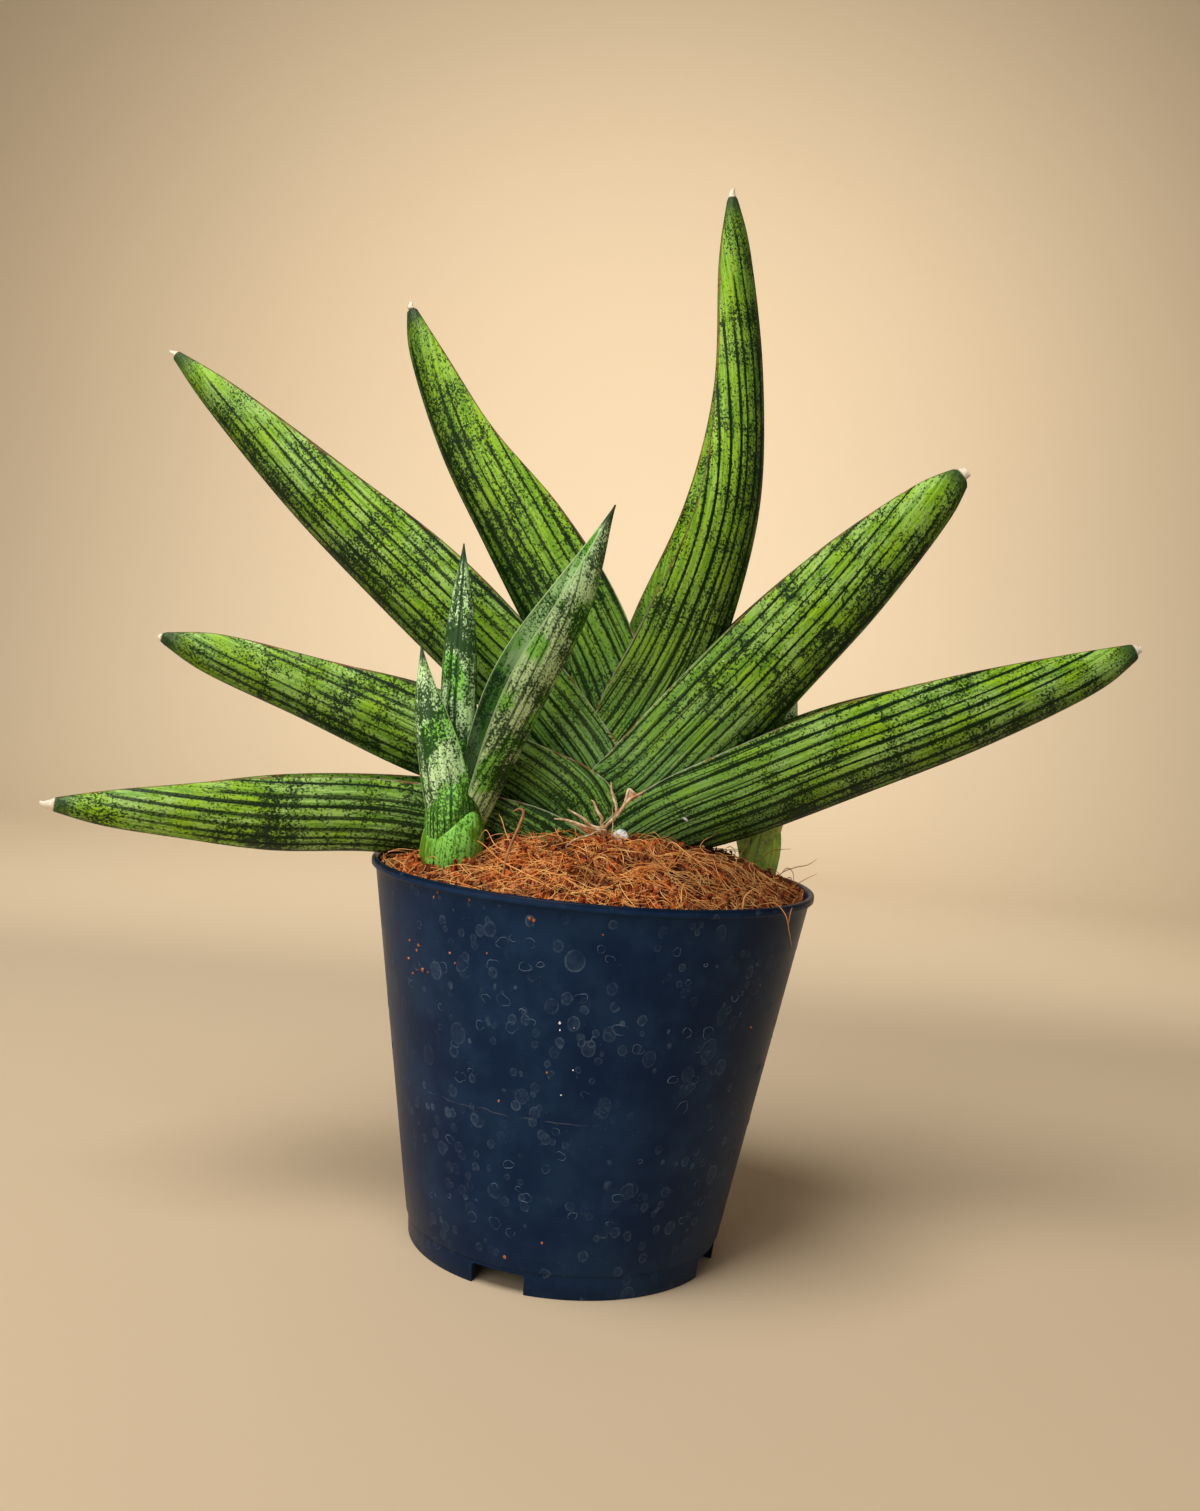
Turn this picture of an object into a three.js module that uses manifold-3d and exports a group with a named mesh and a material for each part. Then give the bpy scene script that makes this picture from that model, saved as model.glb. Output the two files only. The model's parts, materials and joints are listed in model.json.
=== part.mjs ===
// A potted rookie snake plant: a flat fan of seven thick channelled leaves with a pup in front and
// a pup behind, in a nursery pot full of coir.
// Millimetres, +Z up. The origin is the middle of the pot's foot, -Y is the front of the plant, and
// the fan of leaves spreads along X.
import * as THREE from 'three';
import { mergeVertices } from 'three/addons/utils/BufferGeometryUtils.js';
import Module from 'manifold-3d';

const wasm = await Module();
wasm.setup();

// Driving dimensions of the pot
const POT_HEIGHT = 127;
const POT_TOP_RADIUS = 75;
const POT_FOOT_RADIUS = 52.5;
const POT_WALL = 1.2;
const POT_LIP_HEIGHT = 2.8;
const POT_LIP_PROUD = 1;
const POT_STEP_HEIGHT = 8.4;
const POT_RING_INSET = 0.7;
const POT_RING_WIDTH = 2.6;
const POT_FLOOR_UNDERSIDE = 8.6;
const POT_FLOOR = 1.6;
const POT_SIDES = 48;
const NOTCH_COUNT = 4;
const NOTCH_WIDTH = 18;
const NOTCH_HEIGHT = 6.5;
const NOTCH_ANGLE = 249.3;
const DRAIN_COUNT = 8;
const DRAIN_RADIUS = 5;
const DRAIN_RING_RADIUS = 43;

// Driving dimensions of the coir
const COIR_EDGE_DROP = 2.8;
const COIR_CROWN = 142.6;
const COIR_SLOPE = 1.7;
const COIR_SIDES = 32;
const COIR_RINGS = 6;
const COIR_LUMP = 0.9;
const FIBRE_COUNT = 48;
const FIBRE_RADIUS = 0.55;
const FIBRE_LENGTH = 24;
const FIBRE_SUNK = 0.7;
const FIBRE_FIELD = 64;
const FIBRE_SEED = 11;

// Clearance between neighbours
const GAP = 0.3;

// Colours of the pieces
const POT_NAVY = 0x16202f;
const COIR_BROWN = 0xa4592c;
const LEAF_GREEN = 0x5f8f2f;
const PUP_GREEN = 0x86ab62;
const SHEATH_GREEN = 0x78a82f;
const DRIED_TAN = 0xb98f63;
const RHIZOME_CREAM = 0xc8b487;
const PERLITE_WHITE = 0xe4e6e2;

// The seven leaves of the fan, from the outermost sheath to the innermost. Each row is one section,
// from the base to the tip: keel x and z, channel mouth x and z, and half of the width in depth.
// lean is how far the tip stands behind the plane of the fan, and roll turns the channel's mouth
// towards the back, in degrees, at the middle of the leaf and at the tip.
const FAN = [
  {
    name: 'leaf_left_low',
    lean: -26,
    roll: [0, 8],
    rows: [
      [-18, 118, 8, 130, 19],
      [-24, 119, -2, 141, 19],
      [-33, 121, -20, 149, 18],
      [-54, 126.5, -48, 152.5, 13.5],
      [-76, 127.6, -75.5, 153, 11],
      [-108, 125.5, -107.5, 150.5, 10],
      [-139, 127.4, -138.5, 145, 8.2],
      [-162, 129.8, -161.5, 141, 5],
      [-181, 134.6, -181, 136.8, 1.1],
    ],
  },
  {
    name: 'leaf_right_low',
    lean: 13,
    roll: [0, 8],
    rows: [
      [8, 119, -8, 130, 17],
      [15, 124, -1, 142, 17],
      [30, 134, 14.5, 157, 16.5],
      [55, 144, 39.5, 171.5, 13.5],
      [90.5, 161, 76, 190, 11],
      [130, 180.5, 118, 204, 9.5],
      [167, 202.5, 159, 215.3, 5.5],
      [183.4, 217.4, 181.4, 221.3, 1.8],
    ],
  },
  {
    name: 'leaf_left_middle',
    lean: -10,
    roll: [0, 6],
    rows: [
      [-11, 121, 10, 136, 14.8],
      [-16, 130, 4, 155, 14.8],
      [-23, 139, -6, 163.5, 14.5],
      [-40, 147.5, -29, 171.5, 12.2],
      [-70, 157, -59, 184, 10],
      [-103, 170, -97, 190.3, 8.5],
      [-135, 182, -131, 195.3, 4.8],
      [-151, 191.4, -150.6, 194.4, 1.2],
    ],
  },
  {
    name: 'leaf_right_middle',
    lean: 5,
    roll: [0, 2],
    rows: [
      [10, 123, -9, 140, 12.8],
      [19, 137, -5, 159, 12.8],
      [31, 149, 1.5, 168, 12.8],
      [45, 166, 17, 188, 12.6],
      [67.5, 195, 40.5, 216, 12],
      [89, 223.5, 66.3, 242.3, 10],
      [108.7, 254.7, 95.3, 265.8, 5.8],
      [115.7, 270.7, 111.8, 275, 2.2],
    ],
  },
  {
    name: 'leaf_left_high',
    lean: 8,
    roll: [0, -4],
    rows: [
      [-6, 130, 9, 144, 10.8],
      [-15, 146, 8, 165, 10.8],
      [-24.5, 159, -1, 177.5, 11],
      [-45, 180, -22.5, 201, 11.4],
      [-78, 207.7, -57.5, 231.4, 11],
      [-113.3, 238.7, -97, 256.4, 9.2],
      [-144.6, 270.8, -136.5, 280.4, 5.2],
      [-160.3, 289.6, -158.8, 291.4, 1.1],
    ],
  },
  {
    name: 'leaf_right_high',
    lean: -4,
    roll: [-16, 0],
    rows: [
      [5, 138, -6, 150, 8.8],
      [17, 160, -5, 172, 8.8],
      [28, 181, -2, 188, 9.2],
      [37.5, 209, 7.8, 215.6, 10],
      [44.3, 252.5, 21.3, 253.8, 10],
      [41.7, 296, 25.7, 293.5, 8.4],
      [33.6, 336.5, 23.3, 334.5, 4.8],
      [26.2, 357.3, 24.2, 357, 1.2],
    ],
  },
  {
    name: 'leaf_left_top',
    lean: 10,
    roll: [0, -4],
    rows: [
      [-2, 146, 5, 156, 6.8],
      [-11, 166, 8, 180, 7],
      [-18.5, 184.5, 9, 199.5, 8.2],
      [-30, 206, -1.5, 221.8, 9.8],
      [-46.5, 233, -22, 248, 10.6],
      [-64.5, 263.4, -46.8, 272.8, 9],
      [-78, 295.5, -68, 300, 5],
      [-81.2, 313.6, -79, 314.4, 1.1],
    ],
  },
];

// A pup is a small shoot of young leaves wrapped by short sheath scales, listed from the outermost
// to the innermost. line holds the middle of a leaf, at even steps from its base to its tip, and
// inner is the direction that its channel faces. height is the section from keel to mouth and
// half is half of its width, both at the belly, which is belly of the way up. From there it narrows
// as (1 - w ** point[0]) ** point[1].
const FRONT_PUP = [
  {
    name: 'pup_front_sheath_low',
    line: [[-45, -26.6, 119], [-44, -30.4, 135], [-42, -34, 151]], inner: [-0.45, 0.9, 0],
    height: 18.2, half: 9.6, belly: 0.3, base: 0.94, point: [3.4, 1], channel: 0.86,
  },
  {
    name: 'pup_front_sheath_high',
    line: [[-45, -26, 122], [-45.6, -30.4, 141], [-47, -32.4, 160]], inner: [-0.1, 1, 0.1],
    height: 15.8, half: 9.6, belly: 0.5, base: 0.8, point: [3, 1], channel: 0.84,
  },
  {
    name: 'pup_front_leaf_left',
    line: [[-44.5, -26, 123], [-48.4, -29.2, 142], [-53, -31.4, 161.5], [-58, -32.6, 181], [-61, -33, 200]],
    inner: [0.75, 0.6, 0.25],
    height: 11.5, half: 8.2, belly: 0.34, base: 0.86, point: [2.4, 1.6], channel: 0.68,
  },
  {
    name: 'pup_front_leaf_right',
    line: [[-45, -26, 124], [-37.6, -28.5, 155], [-27.8, -30, 186.5], [-13.4, -30.4, 218], [-2.9, -30, 249]],
    inner: [-0.78, -0.45, 0.42],
    height: 17.6, half: 8, belly: 0.5, base: 0.48, point: [2.2, 1.4], channel: 0.78,
  },
  {
    name: 'pup_front_leaf_middle',
    line: [[-45, -26, 125], [-49, -24, 179], [-51, -24, 233]], inner: [0.3, 1, 0.1],
    height: 7, half: 6, belly: 0.5, base: 0.55, point: [2.4, 1.3], channel: 0.6,
  },
];
const REAR_PUP = [
  {
    name: 'pup_rear_sheath',
    line: [[58, 26, 119], [61, 27.5, 134], [64.5, 29, 149]], inner: [-0.95, 0.3, 0.2],
    height: 11.4, half: 6, belly: 0.3, base: 0.9, point: [2.6, 1], channel: 0.8,
  },
  {
    name: 'pup_rear_leaf_right',
    line: [[58, 26, 120], [64.5, 31, 162], [67.5, 36, 204]], inner: [-0.9, -0.2, 0.3],
    height: 9.2, half: 5.4, belly: 0.4, base: 0.85, point: [2.4, 1.5], channel: 0.68,
  },
  {
    name: 'pup_rear_leaf_left',
    line: [[58, 26, 121], [51, 38, 154.5], [46, 44, 188]], inner: [0.8, -0.4, 0.4],
    height: 7.2, half: 4.7, belly: 0.42, base: 0.8, point: [2.4, 1.5], channel: 0.64,
  },
  {
    name: 'pup_rear_leaf_middle',
    line: [[58, 26, 122], [59.5, 30, 166], [61, 34, 210]], inner: [0.2, 1, 0.1],
    height: 5.4, half: 4, belly: 0.45, base: 0.6, point: [2.2, 1.4], channel: 0.55,
  },
];

// The torn margins of the outer sheaths have dried to threads that meet in one knot on the coir.
const THREAD_RADIUS = 0.6;
const THREADS = [
  [[1.5, -20.5, 138.5], [3, -21, 143], [8, -21.5, 149], [12, -21, 155]],
  [[1.5, -20.5, 139], [3.5, -21.5, 147], [5, -21, 151], [3, -20.5, 159]],
  [[1, -20.5, 139], [1.5, -22, 145], [-1, -22, 149], [-3, -21.5, 153]],
  [[1.5, -20.5, 138.5], [-2, -21.5, 141.5], [-6, -21.5, 146], [-11, -21, 148]],
  [[2, -20.5, 138], [-5, -22, 140.5], [-10, -22, 144], [-16, -21.5, 145.5]],
];

const PERLITE_PLACE = [8, -20.2, 141.1];
const PERLITE_RADIUS = 2;

// The rhizome under the coir: a crown below the fan, and a runner with a knob to each pup
const RHIZOME_CROWN = [0, 0, 112];
const RHIZOME_CROWN_SIZE = [21, 16, 12];
const RHIZOME_KNOB_RADIUS = 5;
const RHIZOME_KNOB_DROP = 5;
const RUNNER_RADIUS = 4;
const RUNNER_SAG = 5;

// The edge of a leaf's margin, and the facets of the leaves
const MARGIN_EDGE = 0.9;
const FAN_FACETS = { outside: 9, inside: 5, stations: 16 };
const PUP_FACETS = { outside: 6, inside: 4, stations: 8 };

const UP = new THREE.Vector3(0, 0, 1);

// A seeded generator of numbers from 0 to 1
function seeded(seed) {
  let state = seed;
  return () => {
    state = (Math.imul(state, 1664525) + 1013904223) >>> 0;
    return state / 4294967296;
  };
}

// A closed three.js mesh as a solid that can be cut and joined
function toSolid(geometry) {
  const bare = geometry.clone();
  bare.deleteAttribute('normal');
  bare.deleteAttribute('uv');
  const merged = mergeVertices(bare, 1e-4);
  const index = merged.index.array;
  const corners = [];
  for (let i = 0; i < index.length; i += 3) {
    const [a, b, c] = [index[i], index[i + 1], index[i + 2]];
    if (a !== b && b !== c && c !== a) corners.push(a, b, c);
  }
  return new wasm.Manifold(new wasm.Mesh({
    numProp: 3,
    vertProperties: new Float32Array(merged.attributes.position.array),
    triVerts: new Uint32Array(corners),
  }));
}

// The largest body of a solid, so that a cut leaves no loose scraps
function largestBody(solid) {
  return solid.decompose().reduce((best, body) => (body.volume() > best.volume() ? body : best));
}

function toMesh(name, solid, color, roughness) {
  const mesh = largestBody(solid).getMesh();
  const geometry = new THREE.BufferGeometry();
  geometry.setAttribute('position', new THREE.BufferAttribute(new Float32Array(mesh.vertProperties), 3));
  geometry.setIndex(new THREE.BufferAttribute(new Uint32Array(mesh.triVerts), 1));
  geometry.computeVertexNormals();
  const result = new THREE.Mesh(geometry, new THREE.MeshStandardMaterial({ color, roughness, metalness: 0 }));
  result.name = name;
  return result;
}

// A turned solid: profile holds [radius, z] points that start and end on the axis
function turned(profile, sides) {
  const points = profile.map(([radius, z]) => new THREE.Vector2(radius, z));
  return new THREE.LatheGeometry(points, sides).rotateX(Math.PI / 2);
}

// A tube of radius along a smooth line through points
function tube(points, radius, sides, steps) {
  const section = new THREE.Shape();
  for (let i = 0; i < sides; i += 1) {
    const angle = (i / sides) * 2 * Math.PI;
    const [x, y] = [radius * Math.cos(angle), radius * Math.sin(angle)];
    if (i === 0) section.moveTo(x, y);
    else section.lineTo(x, y);
  }
  const extrudePath = new THREE.CatmullRomCurve3(points);
  return toSolid(new THREE.ExtrudeGeometry(section, { steps, extrudePath, bevelEnabled: false }));
}

// The outer radius of the pot's wall at a height
function potWall(z) {
  return POT_FOOT_RADIUS + (POT_TOP_RADIUS - POT_LIP_PROUD - POT_FOOT_RADIUS) * (z / POT_HEIGHT);
}

function buildPot() {
  const lipFoot = POT_HEIGHT - POT_LIP_HEIGHT;
  const floorTop = POT_FLOOR_UNDERSIDE + POT_FLOOR;
  const ringOutside = POT_FOOT_RADIUS;
  const profile = [
    [0, POT_FLOOR_UNDERSIDE],
    [ringOutside - POT_RING_WIDTH, POT_FLOOR_UNDERSIDE],
    [ringOutside - POT_RING_WIDTH, 0],
    [ringOutside, 0],
    [potWall(POT_STEP_HEIGHT) - POT_RING_INSET, POT_STEP_HEIGHT - 0.4],
    [potWall(POT_STEP_HEIGHT), POT_STEP_HEIGHT],
    [potWall(lipFoot), lipFoot],
    [POT_TOP_RADIUS - 0.3, lipFoot + 0.3],
    [POT_TOP_RADIUS, lipFoot + 1],
    [POT_TOP_RADIUS, POT_HEIGHT - 0.8],
    [POT_TOP_RADIUS - 0.8, POT_HEIGHT],
    [POT_TOP_RADIUS - 1.7, POT_HEIGHT],
    [potWall(POT_HEIGHT) - POT_WALL, POT_HEIGHT - 0.8],
    [potWall(floorTop) - POT_WALL, floorTop],
    [0, floorTop],
  ];
  let pot = toSolid(turned(profile, POT_SIDES));
  for (let i = 0; i < NOTCH_COUNT; i += 1) {
    const angle = THREE.MathUtils.degToRad(NOTCH_ANGLE + (i * 360) / NOTCH_COUNT);
    const notch = new THREE.BoxGeometry(4 * POT_RING_WIDTH, NOTCH_WIDTH, 2 * NOTCH_HEIGHT);
    notch.translate(POT_FOOT_RADIUS, 0, 0).rotateZ(angle);
    pot = pot.subtract(toSolid(notch));
  }
  for (let i = 0; i < DRAIN_COUNT; i += 1) {
    const angle = THREE.MathUtils.degToRad(NOTCH_ANGLE + (i * 360) / DRAIN_COUNT);
    const drain = new THREE.CylinderGeometry(DRAIN_RADIUS, DRAIN_RADIUS, 4 * POT_FLOOR, 12);
    drain.rotateX(Math.PI / 2).translate(DRAIN_RING_RADIUS, 0, floorTop).rotateZ(angle);
    pot = pot.subtract(toSolid(drain));
  }
  return pot;
}

const smooth = (t) => THREE.MathUtils.smoothstep(t, 0, 1);
const mix = THREE.MathUtils.lerp;

// How much of a fan leaf's height its channel takes: nearly all in the sheath, little at the tip
function fanChannel(u) {
  return mix(0.8, 0.34, smooth((u - 0.26) / 0.34)) - 0.14 * smooth((u - 0.7) / 0.3);
}

// The angle from the keel round to the margin: upright walls in the sheath, nearly round at the tip
function wrapAngle(u) {
  return THREE.MathUtils.degToRad(mix(93, 122, smooth((u - 0.38) / 0.3)) + 26 * smooth((u - 0.75) / 0.25));
}

// The sections of a fan leaf, worked out from its rows
function fanSections(leaf, stations) {
  const last = leaf.rows.length - 1;
  const keel = [];
  const mouth = [];
  const half = [];
  leaf.rows.forEach(([keelX, keelZ, mouthX, mouthZ, halfWidth], i) => {
    const u = i / last;
    const y = leaf.lean * u ** 1.5;
    const turn = mix(leaf.roll[0] * smooth((u - 0.28) / 0.24), leaf.roll[1], smooth((u - 0.52) / 0.4));
    const roll = THREE.MathUtils.degToRad(turn);
    const height = Math.hypot(mouthX - keelX, mouthZ - keelZ);
    keel.push(new THREE.Vector3(keelX, y, keelZ));
    mouth.push(new THREE.Vector3(mouthX, y + height * Math.sin(roll), mouthZ));
    half.push(new THREE.Vector3(halfWidth, 0, 0));
  });
  const [keelLine, mouthLine, halfLine] = [keel, mouth, half].map(
    (points) => new THREE.CatmullRomCurve3(points, false, 'catmullrom', 0.5),
  );
  return Array.from({ length: stations + 1 }, (_, i) => {
    const u = i / stations;
    return {
      keel: keelLine.getPoint(u),
      mouth: mouthLine.getPoint(u),
      half: halfLine.getPoint(u).x,
      channel: fanChannel(u),
      wrap: wrapAngle(u),
    };
  });
}

// The sections of a pup's leaf or sheath scale
function pupSections(leaf, stations) {
  const points = leaf.line.map((point) => new THREE.Vector3(...point));
  const line = new THREE.CatmullRomCurve3(points, false, 'catmullrom', 0.5);
  return Array.from({ length: stations + 1 }, (_, i) => {
    const u = (i / stations) ** 0.9 * 0.985;
    const swell = u < leaf.belly
      ? mix(leaf.base, 1, smooth(u / leaf.belly))
      : (1 - ((u - leaf.belly) / (1 - leaf.belly)) ** leaf.point[0]) ** leaf.point[1];
    const along = line.getTangent(u);
    const inner = new THREE.Vector3(...leaf.inner);
    inner.addScaledVector(along, -inner.dot(along)).normalize();
    const reach = inner.multiplyScalar((leaf.height * Math.max(swell, 0.06)) / 2);
    const centre = line.getPoint(u);
    return {
      keel: centre.clone().sub(reach),
      mouth: centre.clone().add(reach),
      half: leaf.half * Math.max(swell, 0.08),
      channel: leaf.channel * (1 - 0.5 * u ** 3),
      wrap: THREE.MathUtils.degToRad(mix(100, 112, u)),
    };
  });
}

// One section as flat points, across and up from the keel: from one margin under the keel to the
// other, then back along the channel. With swell, it grows by that much and its channel is filled.
function sectionOutline(section, height, facets, swell) {
  const half = section.half + swell;
  const outline = [];
  for (let i = 0; i <= facets.outside; i += 1) {
    const angle = mix(-section.wrap, section.wrap, i / facets.outside);
    const rise = (1 - Math.cos(angle)) / (1 - Math.cos(section.wrap));
    outline.push(new THREE.Vector2(half * Math.sin(angle), mix(-swell, height + swell, rise)));
  }
  if (swell > 0) return outline;
  const margin = half * Math.sin(section.wrap) - Math.min(MARGIN_EDGE, 0.3 * half);
  for (let i = 0; i <= facets.inside; i += 1) {
    const angle = mix(Math.PI / 2, -Math.PI / 2, i / facets.inside);
    const rise = height * (1 - section.channel * Math.cos(angle));
    outline.push(new THREE.Vector2(margin * Math.sin(angle), rise));
  }
  return outline;
}

// A leaf lofted through its sections and closed at both ends. A swollen one is longer by swell too.
function loftLeaf(sections, facets, swell = 0) {
  const middles = sections.map(({ keel, mouth }) => keel.clone().add(mouth).multiplyScalar(0.5));
  const last = sections.length - 1;
  const outlines = [];
  const positions = [];
  sections.forEach((section, i) => {
    const along = middles[Math.min(i + 1, last)].clone().sub(middles[Math.max(i - 1, 0)]).normalize();
    const upright = section.mouth.clone().sub(section.keel);
    const outline = sectionOutline(section, upright.length(), facets, swell);
    const side = new THREE.Vector3().crossVectors(along, upright).normalize();
    upright.normalize();
    const start = section.keel.clone();
    if (i === 0) start.addScaledVector(along, -swell);
    if (i === last) start.addScaledVector(along, swell);
    for (const { x, y } of outline) {
      positions.push(...start.clone().addScaledVector(side, x).addScaledVector(upright, y).toArray());
    }
    outlines.push(outline);
  });
  const count = outlines[0].length;
  const index = [];
  for (let i = 0; i < last; i += 1) {
    for (let j = 0; j < count; j += 1) {
      const a = i * count + j;
      const b = i * count + ((j + 1) % count);
      index.push(a, b + count, b, a, a + count, b + count);
    }
  }
  for (const [a, b, c] of THREE.ShapeUtils.triangulateShape(outlines[0], [])) {
    index.push(a, b, c);
  }
  const tip = last * count;
  for (const [a, b, c] of THREE.ShapeUtils.triangulateShape(outlines[last], [])) {
    index.push(tip + a, tip + c, tip + b);
  }
  const geometry = new THREE.BufferGeometry();
  geometry.setAttribute('position', new THREE.Float32BufferAttribute(positions, 3));
  geometry.setIndex(index);
  return toSolid(geometry);
}

// Leaves listed from the outermost to the innermost: each one is cut clear of those that it wraps.
function nestedLeaves(leaves, sectionsOf, facets) {
  const cutters = leaves.map((leaf) => loftLeaf(sectionsOf(leaf, facets.stations), facets, GAP));
  const solids = leaves.map((leaf, i) => {
    const whole = loftLeaf(sectionsOf(leaf, facets.stations), facets);
    return cutters.slice(i + 1).reduce((rest, cutter) => rest.subtract(cutter), whole);
  });
  return { solids, cutters };
}

// The height of the coir: a mound that is highest under the fan, with low lumps
function coirHeight(x, y) {
  const edge = POT_HEIGHT - COIR_EDGE_DROP;
  const reach = Math.hypot(x, y) / (potWall(edge) - POT_WALL);
  const lumps = Math.sin(0.21 * x + 0.9) * Math.cos(0.17 * y - 0.4) + 0.6 * Math.sin(0.43 * x - 0.29 * y);
  return edge + (COIR_CROWN - edge) * (1 - reach ** COIR_SLOPE) + COIR_LUMP * lumps * (1 - reach ** 6);
}

function buildMound() {
  const bottom = POT_FLOOR_UNDERSIDE + POT_FLOOR + GAP;
  const edge = POT_HEIGHT - COIR_EDGE_DROP;
  const radiusAt = (z) => potWall(z) - POT_WALL - GAP;
  const profile = [[0, bottom], [radiusAt(bottom), bottom]];
  for (let i = 0; i <= COIR_RINGS; i += 1) {
    profile.push([radiusAt(edge) * (1 - i / COIR_RINGS), edge]);
  }
  const mound = turned(profile, COIR_SIDES);
  const place = mound.attributes.position;
  for (let i = 0; i < place.count; i += 1) {
    if (place.getZ(i) > edge - 0.01) place.setZ(i, coirHeight(place.getX(i), place.getY(i)));
  }
  return toSolid(mound);
}

// One loose fibre on the coir, with its ends sunk in; every ninth one stands up
function coirFibre(random, number) {
  const radius = FIBRE_FIELD * Math.sqrt(random());
  const bearing = random() * 2 * Math.PI;
  const heading = random() * 2 * Math.PI;
  const bend = (random() - 0.5) * 1.6;
  const length = FIBRE_LENGTH * (0.6 + 0.8 * random());
  const standing = number % 9 === 0;
  const start = new THREE.Vector3(radius * Math.cos(bearing), radius * Math.sin(bearing), 0);
  const points = [0, 1, 2, 3].map((i) => {
    const part = i / 3;
    const turn = heading + bend * part;
    const reach = length * part * (standing ? 0.4 : 1);
    const x = start.x + reach * Math.cos(turn);
    const y = start.y + reach * Math.sin(turn);
    const inside = Math.min(1, (FIBRE_FIELD + 3) / Math.hypot(x, y));
    const lift = standing ? 9 * part ** 1.3 : 2.4 * Math.sin(Math.PI * part);
    return new THREE.Vector3(x * inside, y * inside, coirHeight(x * inside, y * inside) + lift - FIBRE_SUNK);
  });
  return tube(points, FIBRE_RADIUS, 3, 3);
}

function buildCoir(cutters) {
  const random = seeded(FIBRE_SEED);
  let coir = buildMound();
  for (let i = 0; i < FIBRE_COUNT; i += 1) coir = coir.add(coirFibre(random, i));
  return cutters.reduce((rest, cutter) => rest.subtract(cutter), coir);
}

function ball(centre, size) {
  return toSolid(new THREE.SphereGeometry(1, 12, 7).scale(...size).translate(...centre));
}

// The rhizome, or with swell the room that it takes in the coir
function buildRhizome(swell) {
  let rhizome = ball(RHIZOME_CROWN, RHIZOME_CROWN_SIZE.map((size) => size + swell));
  for (const pup of [FRONT_PUP, REAR_PUP]) {
    const [x, y, z] = pup[0].line[0];
    const knob = new THREE.Vector3(x, y, z - RHIZOME_KNOB_DROP);
    const start = new THREE.Vector3(...RHIZOME_CROWN);
    const middle = start.clone().add(knob).multiplyScalar(0.5).addScaledVector(UP, -RUNNER_SAG);
    const knobRadius = RHIZOME_KNOB_RADIUS + swell;
    rhizome = rhizome.add(ball(knob.toArray(), [knobRadius, knobRadius, knobRadius]));
    rhizome = rhizome.add(tube([start, middle, knob], RUNNER_RADIUS + swell, 6, 5));
  }
  return rhizome;
}

function buildThreads(radius) {
  return THREADS
    .map((points) => tube(points.map((point) => new THREE.Vector3(...point)), radius, 4, 4))
    .reduce((all, thread) => all.add(thread));
}

function buildPerlite(swell) {
  const chip = new THREE.IcosahedronGeometry(PERLITE_RADIUS + swell, 0);
  return toSolid(chip.scale(1.15, 0.8, 0.85).rotateZ(0.5).translate(...PERLITE_PLACE));
}

const fan = nestedLeaves(FAN, fanSections, FAN_FACETS);
const frontPup = nestedLeaves(FRONT_PUP, pupSections, PUP_FACETS);
const rearPup = nestedLeaves(REAR_PUP, pupSections, PUP_FACETS);
const leafCutters = [...fan.cutters, ...frontPup.cutters, ...rearPup.cutters];
const rhizome = leafCutters.reduce((rest, cutter) => rest.subtract(cutter), buildRhizome(0));
const coir = buildCoir([
  ...leafCutters,
  buildRhizome(GAP),
  buildThreads(THREAD_RADIUS + GAP),
  buildPerlite(GAP),
]);

const plant = new THREE.Group();
plant.add(toMesh('nursery_pot', buildPot(), POT_NAVY, 0.45));
plant.add(toMesh('coir', coir, COIR_BROWN, 0.95));
plant.add(toMesh('rhizome', rhizome, RHIZOME_CREAM, 0.7));
FAN.forEach(({ name }, i) => plant.add(toMesh(name, fan.solids[i], LEAF_GREEN, 0.5)));
for (const [pup, nest] of [[FRONT_PUP, frontPup], [REAR_PUP, rearPup]]) {
  pup.forEach(({ name }, i) => {
    const color = name.includes('sheath') ? SHEATH_GREEN : PUP_GREEN;
    plant.add(toMesh(name, nest.solids[i], color, 0.5));
  });
}
plant.add(toMesh('dried_sheath_threads', buildThreads(THREAD_RADIUS), DRIED_TAN, 0.8));
plant.add(toMesh('perlite_chip', buildPerlite(0), PERLITE_WHITE, 0.9));

export default plant;
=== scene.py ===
"""A potted rookie snake plant for close views: striped leaves, two pups, coir and a used nursery pot."""

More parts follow.
